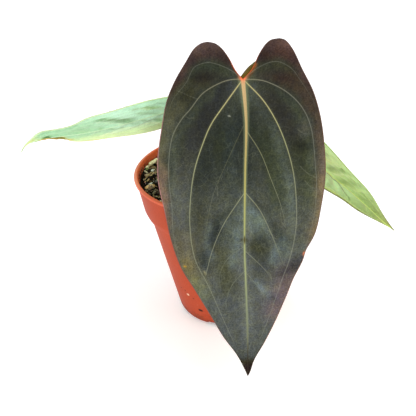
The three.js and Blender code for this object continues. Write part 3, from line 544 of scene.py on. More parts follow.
def beside(points, line):
    """For each point its distance from a polyline, the side it lies on, and how far along."""
    best = np.full(len(points), np.inf)
    side = np.ones(len(points))
    along = np.zeros(len(points))
    travelled = 0.0
    for start, end in zip(line, line[1:]):
        step = end - start
        length = np.linalg.norm(step)
        away = points - start
        t = np.clip(away @ step / length ** 2, 0, 1)
        distance = np.linalg.norm(away - t[:, None] * step, axis=1)
        nearer = distance < best
        cross = step[0] * away[:, 1] - step[1] * away[:, 0]
        best = np.minimum(distance, best)
        side = np.where(nearer, np.where(cross < 0, -1.0, 1.0), side)
        along = np.where(nearer, travelled + t * length, along)
        travelled += length
    return best, side, along


# Meshes

def grid_faces(rows, columns, closed=False):
    """Quads of a grid of rows x columns points, joined across the row's ends if closed."""
    index = np.arange(rows * columns).reshape(rows, columns)
    across = np.roll(index, -1, axis=1) if closed else index[:, 1:]
    here = index if closed else index[:, :-1]
    return np.stack([here[:-1], across[:-1], across[1:], here[1:]], -1).reshape(-1, 4)


def set_attribute(mesh, name, values):
    values = np.asarray(values, np.float32)
    kind, field = {
        1: ("FLOAT", "value"), 3: ("FLOAT_VECTOR", "vector"), 4: ("FLOAT_COLOR", "color"),
    }[1 if values.ndim == 1 else values.shape[1]]
    attribute = mesh.attributes.new(name, kind, "POINT")
    attribute.data.foreach_set(field, values.ravel())


def in_scene(name, data):
    thing = bpy.data.objects.new(name, data)
    bpy.context.scene.collection.objects.link(thing)
    return thing


def mesh_of(name, points, faces):
    mesh = bpy.data.meshes.new(name)
    mesh.from_pydata((np.asarray(points) * MM).tolist(), [], [list(f) for f in faces])
    return mesh


def add_piece(name, points, faces, materials, replaces=(), parts=None, attributes=None,
              sharp=None):
    """A piece of the plant from points in millimetres. parts gives each face's material."""
    mesh = mesh_of(name, points, faces)
    for material in materials:
        mesh.materials.append(material)
    if parts is not None:
        mesh.polygons.foreach_set("material_index", np.asarray(parts, np.int32))
    mesh.polygons.foreach_set("use_smooth", np.ones(len(mesh.polygons), bool))
    for key, values in (attributes or {}).items():
        set_attribute(mesh, key, values)
    mesh.update()
    if sharp is not None:
        mesh.set_sharp_from_angle(angle=sharp * RAD)
    piece = in_scene(name, mesh)
    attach(piece, "root")
    if replaces:
        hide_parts(*replaces)
    return piece


def merge(parts):
    """Joins (points, faces) pairs, and says which pair each point comes from."""
    points, faces, source = [], [], []
    offset = 0
    for number, (part_points, part_faces) in enumerate(parts):
        points.append(part_points)
        faces += [[i + offset for i in face] for face in part_faces]
        source += [number] * len(part_points)
        offset += len(part_points)
    return np.vstack(points), faces, np.array(source)


def frames_along(line):
    """Directions along a 3-D polyline, with two directions across it that don't twist."""
    along = np.gradient(line, axis=0)
    along /= np.linalg.norm(along, axis=1)[:, None]
    first = np.cross(along[0], (0.0, 0.0, 1.0) if abs(along[0, 2]) < 0.9 else (0.0, 1.0, 0.0))
    normals = [first / np.linalg.norm(first)]
    for direction in along[1:]:
        carried = normals[-1] - direction * (normals[-1] @ direction)
        normals.append(carried / np.linalg.norm(carried))
    normals = np.array(normals)
    return along, normals, np.cross(along, normals)


def closed_rings(rings, sides):
    """Faces of a stack of rings that is closed by fans to the two points after them."""
    faces = grid_faces(rings, sides, closed=True).tolist()
    last = (rings - 1) * sides
    for side in range(sides):
        after = (side + 1) % sides
        faces.append([rings * sides, after, side])
        faces.append([rings * sides + 1, last + side, last + after])
    return faces


def tube(line, radius, sides):
    """A closed round limb: its points ring by ring, then the two end centres, and its faces."""
    _, normals, binormals = frames_along(line)
    angle = round_angles(sides)
    round_it = (np.cos(angle)[None, :, None] * normals[:, None]
                + np.sin(angle)[None, :, None] * binormals[:, None])
    points = line[:, None] + round_it * np.asarray(radius)[:, None, None]
    points = np.vstack([points.reshape(-1, 3), line[0], line[-1]])
    return points, closed_rings(len(line), sides)


def lathe(profile, segments):
    """A turned body: profile points of radius and height that start and end on the axis."""
    profile = np.asarray(profile, float)
    angle = round_angles(segments)
    inner = profile[1:-1]
    ring = np.stack([np.cos(angle), np.sin(angle)], -1)
    points = np.concatenate([
        inner[:, None, :1] * ring[None],
        np.repeat(inner[:, None, 1:], segments, axis=1),
    ], axis=-1).reshape(-1, 3)
    points = np.vstack([points, (0, 0, profile[0, 1]), (0, 0, profile[-1, 1])])
    return points, closed_rings(len(inner), segments)


def rounded(corners, steps=5):
    """A profile of (x, y, radius) corners with an arc of that radius at each corner."""
    corners = [np.array(c, float) for c in corners]
    points = [corners[0][:2]]
    for before, here, after in zip(corners, corners[1:], corners[2:]):
        p, radius = here[:2], here[2]
        back, ahead = before[:2] - p, after[:2] - p
        back_length, ahead_length = np.linalg.norm(back), np.linalg.norm(ahead)
        back, ahead = back / back_length, ahead / ahead_length
        half = math.acos(np.clip(back @ ahead, -1, 1)) / 2
        if radius <= 0 or math.cos(half) < 0.02:
            points.append(p)
            continue
        setback = min(radius / math.tan(half), 0.49 * back_length, 0.49 * ahead_length)
        radius = setback * math.tan(half)
        centre = p + (back + ahead) / np.linalg.norm(back + ahead) * radius / math.sin(half)
        start, end = p + back * setback - centre, p + ahead * setback - centre
        turn = math.atan2(start[0] * end[1] - start[1] * end[0], start @ end)
        for step in range(steps + 1):
            c, s = math.cos(turn * step / steps), math.sin(turn * step / steps)
            points.append(centre + (start[0] * c - start[1] * s, start[0] * s + start[1] * c))
    points.append(corners[-1][:2])
    return np.array(points)


def subdivided(profile, longest):
    """The same profile with no stretch longer than longest."""
    points = [profile[0]]
    for start, end in zip(profile, profile[1:]):
        count = max(1, math.ceil(np.linalg.norm(end - start) / longest))
        points += [mix(start, end, (i + 1) / count) for i in range(count)]
    return np.array(points)


# Materials. Object positions are metres; a leaf's or a stalk's own coordinates are millimetres.

class Finish:
    """One material, with short names for the nodes that the finishes here are made of. A colour
    of three numbers is a display colour."""

    def __init__(self, name, roughness, **constants):
        self.material = bpy.data.materials.new(name)
        self.material.use_nodes = True
        self.tree = self.material.node_tree
        self.shader = self.tree.nodes["Principled BSDF"]
        self.shader.inputs["Roughness"].default_value = roughness
        for socket, value in constants.items():
            self.shader.inputs[socket.replace("_", " ")].default_value = value

    def node(self, kind, inputs, output=0, **settings):
        node = self.tree.nodes.new(kind)
        for key, value in settings.items():
            setattr(node, key, value)
        for key, value in inputs.items():
            if isinstance(value, bpy.types.NodeSocket):
                self.tree.links.new(value, node.inputs[key])
            else:
                node.inputs[key].default_value = value
        return node.outputs[output]

    def attribute(self, name, output="Fac"):
        return self.node("ShaderNodeAttribute", {}, output, attribute_name=name)

    def colour(self, name):
        return self.attribute(name, "Color")

    def position(self):
        return self.node("ShaderNodeTexCoord", {}, "Object")

    def math(self, operation, a, b=0.0):
        return self.node("ShaderNodeMath", {0: a, 1: b}, operation=operation)

    def times(self, a, b):
        return self.math("MULTIPLY", a, b)

    def vector_math(self, operation, a, b):
        return self.node("ShaderNodeVectorMath", {0: a, 1: b}, operation=operation)

    def scaled(self, vector, *factors):
        return self.vector_math("MULTIPLY", vector, factors)

    def length(self, vector):
        return self.node("ShaderNodeVectorMath", {0: vector}, "Value", operation="LENGTH")

    def part(self, vector, axis):
        return self.node("ShaderNodeSeparateXYZ", {0: vector}, axis)

    def step(self, value, low, high, bottom=0.0, top=1.0):
        ends = {"Value": value, "From Min": low, "From Max": high, "To Min": bottom, "To Max": top}
        return self.node("ShaderNodeMapRange", ends, interpolation_type="SMOOTHSTEP")

    def noise(self, vector, scale, detail=2.0, roughness=0.5, distortion=0.0, output=0):
        inputs = {"Vector": vector, "Scale": scale, "Detail": detail, "Roughness": roughness,
                  "Distortion": distortion}
        return self.node("ShaderNodeTexNoise", inputs, output)

    def warp(self, vector, scale, amount):
        """The vector pushed about by smooth noise."""
        push = self.noise(vector, scale, 1.0, output="Color")
        centred = self.vector_math("SUBTRACT", push, (0.5, 0.5, 0.5))
        return self.vector_math("ADD", vector, self.scaled(centred, amount, amount, amount))

    def cells(self, vector, scale, feature="F1"):
        inputs = {"Vector": vector, "Scale": scale}
        return self.node("ShaderNodeTexVoronoi", inputs, "Distance", feature=feature)

    def vein(self, name, inner=0.6, outer=1.3):
        """1 on the vein, 0 off it, from a distance measured in the vein's half widths."""
        return self.step(self.math("ABSOLUTE", self.attribute(name)), outer, inner)

    def blend(self, factor, a, b, mode="MIX"):
        a, b = (rgba(*c) if isinstance(c, tuple) and len(c) == 3 else c for c in (a, b))
        inputs = {0: factor, 6: a, 7: b}
        return self.node("ShaderNodeMix", inputs, 2, data_type="RGBA", blend_type=mode)

    def tones(self, value, dark, light, low=0.3, high=0.7):
        return self.blend(self.step(value, low, high), dark, light)

    def layers(self, colour, *layers):
        """The colour under layers that are given as mask and tint."""
        for mask, tint in layers:
            colour = self.blend(mask, colour, tint)
        return colour

    def shade(self, colour, value, *steps):
        """The colour times a number, which may be a noise stepped between two ends."""
        return self.blend(1.0, colour, self.step(value, *steps) if steps else value, "MULTIPLY")

    def bump(self, height, distance_mm, strength):
        inputs = {"Height": height, "Distance": distance_mm * MM, "Strength": strength}
        return self.node("ShaderNodeBump", inputs)

    def finish(self, colour, normal=None, roughness=None):
        links = {"Base Color": colour, "Roughness": roughness, "Normal": normal}
        for socket, value in links.items():
            if value is not None:
                self.tree.links.new(value, self.shader.inputs[socket])
        return self.material


def velvet_finish():
    """Upper face: dark velvet with pale sunken veins and a fine margin line."""
    f = Finish("leaf_velvet", 0.75, Sheen_Weight=0.05, Sheen_Roughness=0.45,
               Sheen_Tint=(0.8, 0.86, 0.9, 1), Specular_IOR_Level=0.1)
    flat = f.attribute("flat", "Vector")
    along = f.part(flat, "Y")
    mottle = f.noise(flat, 0.2, 3.0, 0.55)
    colour = f.shade(f.colour("tint"), mottle, 0.25, 0.75, 0.9, 1.12)
    hue = f.noise(flat, 0.3, 4.0, 0.65)
    hue = f.tones(hue, (0.89, 0.91, 0.98, 1), (1, 0.98, 0.83, 1), 0.36, 0.64)
    colour = f.blend(1.0, colour, hue, "MULTIPLY")
    brushed = f.noise(f.scaled(flat, 1.0, 0.22, 0.3), 1.1, 3.0, 0.6)
    colour = f.shade(colour, brushed, 0.25, 0.75, 0.94, 1.24)
    grain = f.noise(flat, 1.35, 3.0, 0.8)
    colour = f.shade(colour, grain, 0.3, 0.7, 0.66, 1.42)

    net = f.cells(f.warp(flat, 0.5, 1.1), 0.31, "DISTANCE_TO_EDGE")
    shows = f.times(f.step(mottle, 0.35, 0.65, 0.25, 1.0), f.step(along, 5.0, 70.0, 0.05, 0.17))
    vein_tint = f.colour("vein_tint")
    strength = f.attribute("main_strength")
    main_tint = f.blend(f.step(strength, 0.28, 0.6), (140, 142, 128), vein_tint)
    colour = f.layers(
        colour,
        (f.times(f.step(net, 0.035, 0.0), shows), (150, 156, 128)),
        (f.step(f.attribute("cross"), 0.34, 0.06, 0.0, 0.2), (140, 142, 122)),
        (f.times(f.vein("side"), f.attribute("side_strength")), vein_tint),
        (f.times(f.times(f.vein("main", 0.5, 4.2), strength), 0.12), main_tint),
        (f.times(f.vein("main"), strength), main_tint),
        (f.times(f.vein("midrib", 0.9, 3.3), f.step(along, 134.0, 120.0, 0.0, 0.36)),
         (136, 146, 106)),
        (f.vein("midrib", 0.7, 1.2), f.colour("midrib_tint")),
        (f.attribute("hub"), (234, 112, 68)),
        (f.step(f.attribute("edge"), 0.55, 0.15), f.colour("edge_tint")),
    )
    height = f.math("ADD", grain, f.step(net, 0.0, 0.16, 0.0, 0.5))
    return f.finish(colour, f.bump(height, 0.14, 0.5))


def underside_finish():
    """Lower face: pale green with raised veins and a netted, softly quilted surface."""
    f = Finish("leaf_underside", 0.48, Specular_IOR_Level=0.3)
    flat = f.attribute("flat", "Vector")
    streaks = f.noise(f.scaled(flat, 1.0, 0.4, 0.5), 0.42, 3.0, 0.6)
    colour = f.shade(f.colour("tint_under"), streaks, 0.25, 0.75, 0.9, 1.08)
    grain = f.noise(flat, 1.5, 2.0, 0.65)
    colour = f.shade(colour, grain, 0.25, 0.75, 0.94, 1.06)
    net = f.cells(f.warp(flat, 0.4, 2.0), 0.4, "DISTANCE_TO_EDGE")
    vein_tint = f.colour("vein_under")
    colour = f.layers(
        colour,
        (f.step(net, 0.06, 0.0, 0.0, 0.22), vein_tint),
        (f.times(f.vein("side", 0.7, 1.7), 0.4), vein_tint),
        (f.times(f.vein("main", 0.7, 1.7), 0.5), vein_tint),
        (f.times(f.vein("midrib", 0.7, 2.2), 0.9), vein_tint),
        (f.step(f.attribute("edge"), 0.85, 0.4), f.colour("edge_under")),
    )
    height = f.math("ADD", f.step(net, 0.0, 0.2), f.times(grain, 0.35))
    return f.finish(colour, f.bump(height, 0.2, 0.5))


def margin_finish():
    """The rounded rim of a blade, in the colour of the margin line."""
    f = Finish("leaf_margin", 0.5)
    uneven = f.noise(f.position(), 700.0)
    return f.finish(f.shade(f.colour("edge_tint"), uneven, 0.2, 0.8, 0.8, 1.15))


def stalk_finish():
    """Olive green with brown patches, brown at the foot and the knee, finely streaked."""
    f = Finish("leaf_stalk", 0.55, Specular_IOR_Level=0.12)
    way = f.attribute("way", "Vector")
    streaks = f.noise(f.scaled(way, 1.0, 1.0, 0.06), 3.4, 3.0, 0.6)
    colour = f.layers(
        f.tones(streaks, (78, 84, 34), (122, 124, 62)),
        (f.step(f.noise(way, 0.22), 0.45, 0.68, 0.0, 0.65), (104, 74, 40)),
        (f.step(f.part(way, "Z"), 14.0, 0.0, 0.0, 0.7), (110, 78, 52)),
        (f.step(f.cells(way, 1.5), 0.16, 0.08, 0.0, 0.45), (178, 170, 116)),
        (f.attribute("knee"), (92, 74, 14)),
    )
    return f.finish(colour, f.bump(streaks, 0.12, 0.5), f.step(streaks, 0.3, 0.7, 0.5, 0.65))


def pot_finish():
    """Terracotta-coloured moulded plastic: satin, with fine scuffs, specks and a little soil; a
    painted highlight on the lip, painted shade at the foot and painted light on the inner wall.
    """
    f = Finish("pot_plastic", 0.5, Specular_IOR_Level=0.06)
    place = f.position()
    height = f.part(place, "Z")
    cloud = f.noise(place, 28.0, 3.0, 0.55)
    away = f.length(f.scaled(place, 1.0, 1.0, 0.0))
    # Painted highlight: the top of the lip is coloured lighter, most at the back and the left,
    # less at the front
    lip = f.times(f.step(height, 0.0876, 0.0893), f.step(away, 0.0477, 0.0483))
    front = f.step(f.part(place, "Y"), -0.01, -0.03)
    colour = f.layers(
        f.tones(cloud, (177, 70, 42), (187, 79, 50)),
        # painted shade: darker along the foot, where it meets the floor
        (f.step(height, 0.007, 0.001, 0.0, 0.6), (122, 52, 32)),
        (lip, f.blend(front, (255, 147, 122), (222, 108, 78))),
    )
    grain = f.noise(place, 900.0, 2.0, 0.6)
    colour = f.shade(colour, grain, 0.2, 0.8, 0.93, 1.06)

    scuffs = f.noise(f.scaled(place, 1.0, 1.0, 0.2), 420.0, 3.0, 0.65, 0.4)
    soil = f.step(f.noise(place, 320.0, 4.0, 0.7), 0.46, 0.62, 0.0, 0.8)
    inside = f.attribute("inside")
    marks = f.noise(f.scaled(place, 1.0, 1.0, 0.35), 330.0)
    beside_heap = f.step(f.part(place, "X"), -0.041, -0.046)
    soil_line = f.times(f.step(height, 0.0888, 0.0872), beside_heap)
    soil_line = f.math("MAXIMUM", soil_line, f.step(height, 0.0866, 0.0852))
    soil_line = f.times(inside, soil_line)
    crumbs = f.step(f.noise(place, 620.0, 3.0, 0.7), 0.42, 0.54, 0.0, 0.9)
    grit = f.step(f.noise(place, 760.0, 2.0, 0.6), 0.62, 0.68, 0.0, 0.85)
    colour = f.layers(
        colour,
        (f.step(scuffs, 0.64, 0.76, 0.0, 0.16), (226, 150, 126)),
        (f.times(f.step(height, 0.011, 0.001), soil), (92, 50, 30)),
        # painted light: the inner wall is coloured lighter than the outside, as it lies in the
        # leaves' shade
        (inside, (242, 110, 68)),
        (f.times(inside, f.step(marks, 0.6, 0.7, 0.0, 0.42)), (206, 160, 140)),
        (f.times(soil_line, crumbs), (58, 34, 24)),
        (f.times(soil_line, grit), (224, 200, 184)),
    )

    wobbly = f.warp(place, 900.0, 0.0011)
    for centre, (across, up), tint in POT_SPECKS:
        away = f.vector_math("SUBTRACT", wobbly, tuple(c * MM for c in centre))
        away = f.scaled(away, *(1 / reach / MM for reach in (across, across, up)))
        colour = f.blend(f.step(f.length(away), 1.2, 0.7, 0.0, 0.92), colour, tint)
    return f.finish(colour, f.bump(grain, 0.04, 0.35), f.step(cloud, 0.3, 0.7, 0.46, 0.56))


def peat_finish():
    """Moist dark peat and coir."""
    f = Finish("growing_mix", 0.9, Specular_IOR_Level=0.08)
    place = f.position()
    crumbs = f.noise(place, 520.0, 4.0, 0.7)
    flecks = f.step(f.cells(place, 620.0), 0.2, 0.1, 0.0, 0.5)
    colour = f.tones(crumbs, (6, 5, 4), (44, 34, 26), 0.35)
    return f.finish(f.blend(flecks, colour, (120, 98, 70)), f.bump(crumbs, 0.9, 0.9))


def chip_finish(name, dark, light, grain_mm):
    """Bark, charcoal, grit and moss: two tones, streaked one way, lighter or darker by piece."""
    f = Finish(name, 0.8, Specular_IOR_Level=0.12)
    grain = f.noise(f.scaled(f.position(), 1.0, 0.45, 1.0), 1 / (grain_mm * MM), 3.0, 0.65)
    colour = f.shade(f.tones(grain, dark, light), f.attribute("tone"))
    return f.finish(colour, f.bump(grain, grain_mm * 0.3, 0.8))


def crown_finish():
    """Short stem with old leaf scars, and its roots."""
    f = Finish("crown_bark", 0.72, Specular_IOR_Level=0.3)
    place = f.position()
    grain = f.noise(f.scaled(place, 1.0, 1.0, 0.3), 600.0, 3.0, 0.65)
    green = f.step(f.noise(place, 90.0), 0.5, 0.7, 0.0, 0.55)
    colour = f.blend(green, f.tones(grain, (74, 56, 34), (142, 122, 84)), (96, 106, 56))
    return f.finish(colour, f.bump(grain, 0.3, 0.8))


def scale_leaf_finish():
    """Dry papery scale leaf with lengthwise fibres."""
    f = Finish("scale_leaf", 0.75, Specular_IOR_Level=0.25)
    way = f.attribute("way", "Vector")
    fibres = f.noise(f.scaled(way, 1.0, 1.0, 0.07), 2.4, 3.0, 0.7)
    patches = f.step(f.noise(way, 0.25, 3.0), 0.5, 0.7, 0.0, 0.5)
    colour = f.blend(patches, f.tones(fibres, (98, 66, 38), (186, 150, 104)), (76, 50, 32))
    return f.finish(colour, f.bump(fibres, 0.25, 0.9))


def floor_finish():
    f = Finish("studio_floor", 0.9, Specular_IOR_Level=0.1, Emission_Color=(1, 1, 1, 1),
               Emission_Strength=0.3)
    tone = f.noise(f.position(), 1.2)
    return f.finish(f.tones(tone, (248, 249, 250), (251, 251, 252), 0.2, 0.8))


# Leaf blades

def leaf_directions(leaf, b):
    """Directions along the midrib, across it and off the velvety face, where the leaf is at b."""
    u = b / leaf["length"]
    extra = leaf["droop"] * np.clip((u - DROOP_START) / (1 - DROOP_START), 0, 1) ** 1.5
    dip = (mix(*leaf["dip"], u) + extra) * RAD
    heading = (leaf["heading"] + leaf["sweep"] * np.clip(u, 0, 1.2) ** 1.5) * RAD
    level = np.cos(dip)
    along = np.stack([level * np.cos(heading), level * np.sin(heading), -np.sin(dip)], -1)
    across = np.stack([-np.sin(heading), np.cos(heading), np.zeros_like(heading)], -1)
    roll = ((leaf["roll"] + leaf["twist"] * u) * RAD)[:, None]
    normal = np.cross(along, across)
    rolled = across * np.cos(roll) + normal * np.sin(roll)
    return along, rolled, np.cross(along, rolled)


def midline_points(leaf, b):
    """Points of the midrib line in space, walked in short steps out of the hub."""
    step = MIDRIB_STEP
    ahead = np.arange(0, leaf["length"] + MIDRIB_AHEAD, step)
    behind = -np.arange(0, MIDRIB_BEHIND, step)
    hub = np.array(leaf["hub"], float)
    forwards = hub + np.cumsum(leaf_directions(leaf, ahead + step / 2)[0] * step, axis=0)
    backwards = hub - np.cumsum(leaf_directions(leaf, behind - step / 2)[0] * step, axis=0)
    stations = np.concatenate([behind[::-1] - step, [0], ahead + step])
    points = np.vstack([backwards[::-1], hub, forwards])
    return np.stack([np.interp(b, stations, column) for column in points.T], -1)


def place(leaf, a, b, n):
    """Points in space for points of the flat leaf. A margin may be rolled towards the underside:
    it bends tightly past its start line, then lies straight."""
    a, b, n = np.broadcast_arrays(*(np.atleast_1d(np.asarray(v, float)) for v in (a, b, n)))
    _, across, normal = leaf_directions(leaf, b)
    roll = leaf["roll_over"]
    side = OUTWARD[roll["half"]]
    start = np.interp(b, *np.transpose(roll["start"]))
    out = a * side
    flat = np.minimum(out, start)
    half = (flat * side >= 0).astype(int)
    bend = np.array(leaf["bend"])[half]
    turn = bend * flat
    first, full, last, gone = roll["span"]
    share = smoothstep(first, full, b) * (1 - smoothstep(last, gone, b))
    curve = np.maximum(share / roll["radius"], 1e-4)
    rolled = out - flat
    bent = np.minimum(rolled, roll["radius"] * roll["turn"] * RAD)
    after = turn + curve * bent
    sideways = (np.sin(turn) / bend + (np.sin(after) - np.sin(turn)) / curve
                + (rolled - bent) * np.cos(after) + n * np.sin(after))
    down = ((1 - np.cos(turn)) / bend + (np.cos(turn) - np.cos(after)) / curve
            + (rolled - bent) * np.sin(after) - n * np.cos(after))
    return (midline_points(leaf, b) + across * (side * sideways)[:, None]
            - normal * down[:, None])


def half_grid(leaf, half):
    """Rows of points of one half, from its inner edge out to the margin."""
    outline = leaf["halves"][half]
    sinus, margin = Line(outline["inner"]), Line(outline["outer"])
    midrib = Line(leaf["midrib"])
    size = leaf["grid"]
    shoulder = sinus.length / margin.length
    lobe = np.arange(size["lobe_rows"]) / size["lobe_rows"]
    body = np.arange(size["rows"] + 1) / size["rows"]
    inner = np.vstack([sinus.at(1 - lobe), midrib.at(body) * (OUTWARD[half], 1)])
    outer = margin.at(np.concatenate([shoulder * lobe, mix(shoulder, 1, body)]))
    across = np.linspace(0, 1, size["columns"])
    points = mix(inner[:, None], outer[:, None], across[None, :, None])
    width = np.linalg.norm(outer - inner, axis=1)[:, None]
    from_margin = (1 - across) * width
    in_lobe = (np.arange(len(inner)) < size["lobe_rows"])[:, None]
    from_margin = np.where(in_lobe, np.minimum(across * width, from_margin), from_margin)
    rows = np.linspace(0, 1, len(inner))[:, None] + 0 * across
    return points, from_margin, rows, across + 0 * rows


def vein_field(points, veins, scale):
    """Distance to the nearest vein in its half widths, with a sign that changes only at a vein,
    how strongly that vein shows, and the plain distance."""
    best = np.full(len(points), np.inf)
    widths = np.ones(len(points))
    strengths = np.zeros(len(points))
    sign = np.ones(len(points))
    for half_width, shows, outline in veins:
        line = curve_points(np.array(outline) * scale, VEIN_STEPS)
        length = np.linalg.norm(np.diff(line, axis=0), axis=1).sum()
        distance, side, along = beside(points, carried_on(line))
        share = along / length
        width = half_width * np.clip(1.05 - 0.55 * share, 0.05, 1)
        width = np.where(share > 1, VEIN_TAIL.half_width, width)
        strength = np.interp(share, (0, 0.5, 0.95, 1.0), (*shows, 0))
        nearer = distance < best
        best = np.minimum(distance, best)
        widths = np.where(nearer, width, widths)
        strengths = np.where(nearer, strength, strengths)
        sign *= side
    return sign * best / widths, strengths, np.where(widths > VEIN_TAIL.half_width, best, FAR)


def blade_points(leaf):
    """All points of a blade's sheet, both halves, with what the relief and colours need."""
    size = leaf["grid"]
    rows, columns = size["lobe_rows"] + size["rows"] + 1, size["columns"]
    store = {}
    faces = []
    shared = None
    offset = 0
    for half, veins in enumerate((VEINS_LEFT, VEINS_RIGHT)):
        points, from_margin, row, across = half_grid(leaf, half)
        index = np.arange(rows * columns).reshape(rows, columns) + offset
        keep = np.ones((rows, columns), bool)
        keep[0, 1:] = keep[-1, 1:] = False
        if half:
            keep[size["lobe_rows"]:, 0] = False
        kept = np.cumsum(keep.ravel()).reshape(rows, columns) - 1 + offset
        index = np.where(keep, kept, -1)
        if half:
            index[size["lobe_rows"]:, 0] = shared
        index[0, 1:] = index[0, 0]
        index[-1, 1:] = index[-1, 0]
        if not half:
            shared = index[size["lobe_rows"]:, 0].copy()
        flat = points[keep]
        values = {
            "a": flat[:, 0] * OUTWARD[half], "b": flat[:, 1], "from_margin": from_margin[keep],
            "row": row[keep], "across": across[keep], "half": np.full(len(flat), half),
        }
        for group, lines in veins.items():
            fields = vein_field(flat, lines, leaf["vein_scale"])
            values.update(zip((group, f"{group}_strength", f"to_{group}"), fields))
        for key, value in values.items():
            store.setdefault(key, []).append(value)
        quads = np.stack([index[:-1, :-1], index[:-1, 1:], index[1:, 1:], index[1:, :-1]], -1)
        quads = quads.reshape(-1, 4)
        faces.append(quads if half else quads[:, ::-1])
        offset += keep.sum()
    store = {key: np.concatenate(value) for key, value in store.items()}
    return store, np.vstack(faces)


def midrib_field(leaf, s):
    """Signed distance to the midrib in its half widths, and the plain distance."""
    line = Line(leaf["midrib"]).points
    centre = np.interp(s["b"], line[:, 1], line[:, 0])
    u = s["b"] / leaf["length"]
    half_width = np.interp(u, (0, 0.05, 0.14, 0.25, 0.5, 0.8, 1),
                           (1, 0.84, 0.58, 0.45, 0.34, 0.28, 0.14))
    sideways = s["a"] - centre
    below_hub = s["b"] < 0
    radial = np.hypot(s["a"], s["b"]) * np.where(sideways < 0, -1, 1)
    distance = np.where(below_hub, radial, sideways)
    return distance / half_width, np.where(below_hub, FAR, np.abs(sideways))


def sheet_relief(leaf, s, to_midrib):
    """How far the velvety face stands off the bent sheet, and the blade's thickness."""
    a, b = s["a"], s["b"]
    calm = smoothstep(*BLADE.calm_hub, np.hypot(a, b))
    edge = smoothstep(0, BLADE.calm_margin, s["from_margin"])
    nearest = np.minimum(np.minimum(to_midrib, s["to_main"]), s["to_side"] * BLADE.side_reach)
    quilt = BLADE.quilting * (1 - np.exp(-(nearest / BLADE.quilt_width) ** 2))
    height, count, phase = leaf["waves"]
    wave = height * s["across"] ** 3 * np.sin(2 * np.pi * count * s["row"] + phase + s["half"])
    fine = BLADE.pitting * ripple(np.stack([a, b], -1), BLADE.pit_width, 7)
    fine = fine * smoothstep(0.3, 2, nearest)
    lift = (quilt * edge + wave + fine * edge) * calm
    if leaf["fold"]:
        fold = leaf["fold"]
        away = np.hypot(a - fold["at"][0], b - fold["at"][1]) / fold["reach"]
        lift -= np.where(s["half"] == fold["half"], fold["depth"] * np.exp(-away ** 2), 0)

    def ridge(distance, top):
        return top * np.exp(-(distance / BLADE.rib_width) ** 2)

    rib = np.maximum.reduce([
        ridge(to_midrib, BLADE.midrib), ridge(s["to_main"], BLADE.vein),
        ridge(s["to_side"], BLADE.side_vein),
    ])
    thin = mix(BLADE.margin_thickness, BLADE.thickness, smoothstep(0, 1.4, s["from_margin"]))
    return lift, thin + rib * calm * edge


def wrap_sheet(top, bottom, faces):
    """Closes a sheet: faces above and below and a rounded rim. Gives points, faces, each face's
    part (0 above, 1 below, 2 rim) and, for each point, the sheet point that it comes from."""
    count = len(top)
    faces = [[c for i, c in enumerate(face) if c != face[i - 1]] for face in faces.tolist()]
    edges = {}
    for face in faces:
        for start, end in zip(face, face[1:] + face[:1]):
            edges[(start, end)] = True
    open_edges = [(s, e) for s, e in edges if (e, s) not in edges]
    direction = np.zeros((count, 3))
    for start, end in open_edges:
        step = top[end] - top[start]
        direction[start] += step
        direction[end] += step
    rim = sorted({p for edge in open_edges for p in edge})
    rim_index = {p: 2 * count + i for i, p in enumerate(rim)}
    thick = top[rim] - bottom[rim]
    outward = np.cross(direction[rim], thick)
    outward /= np.linalg.norm(outward, axis=1)[:, None] + 1e-12
    middle = (top[rim] + bottom[rim]) / 2
    middle += outward * np.linalg.norm(thick, axis=1)[:, None] * RIM_BULGE
    points = np.vstack([top, bottom, middle])
    all_faces, parts = [], []
    for face in faces:
        all_faces += [face, [c + count for c in reversed(face)]]
        parts += [0, 1]
    for start, end in open_edges:
        all_faces.append([end, start, rim_index[start], rim_index[end]])
        all_faces.append([rim_index[end], rim_index[start], start + count, end + count])
        parts += [2, 2]
    return points, all_faces, parts, np.concatenate([np.arange(count), np.arange(count), rim])


def window(x, low, high, soft):
    """1 between low and high, fading over soft at either end."""
    return smoothstep(low - soft, low + soft, x) * (1 - smoothstep(high - soft, high + soft, x))


def beyond_vein(a, b, half, group, index):
    """How far points lie outside a vein of one half of the front blade, negative inside it."""
    line = carried_on(curve_points((VEINS_LEFT, VEINS_RIGHT)[half][group][index][2], VEIN_STEPS))
    distance, side, _ = beside(np.stack([np.abs(a), b], -1), line)
    return -side * distance


def beyond_main(a, b, index):
    """The same for a main vein of each point's own half."""
    return np.where(a < 0, *(beyond_vein(a, b, half, "main", index) for half in (0, 1)))


# Leaf colours, as display values

def towards(colour, target, share):
    """The colours drawn towards one target, by a share for each point."""
    return mix(colour, np.array(target, float), share[:, None])


def gained(colour, gain, share):
    """The colours times a gain, by a share for each point."""
    return colour * mix(1, np.array(gain), share[:, None])


def painted(colour, a, b, strokes):
    """The colours with soft strokes laid over them along short lines of the flat leaf."""
    flat = np.stack([a, b], -1)
    for width, share, target, line in strokes:
        distance = beside(flat, curve_points(line, 5))[0]
        colour = towards(colour, target, share * np.exp(-(distance / width) ** 2))
    return colour


def tint_by_length(b, stops):
    """Colours read from (b, colour) stops."""
    along, colours = zip(*stops)
    return np.stack([np.interp(b, along, channel) for channel in zip(*colours)], -1)


def rim_tint(b, half):
    """Colour of the brown rim of one half of the large leaf."""
    along, level, upper, lower, change = FRONT_RIM[half]
    return np.interp(b, along, level)[:, None] * towards(np.array(upper), lower,
                                                         smoothstep(*change, b))


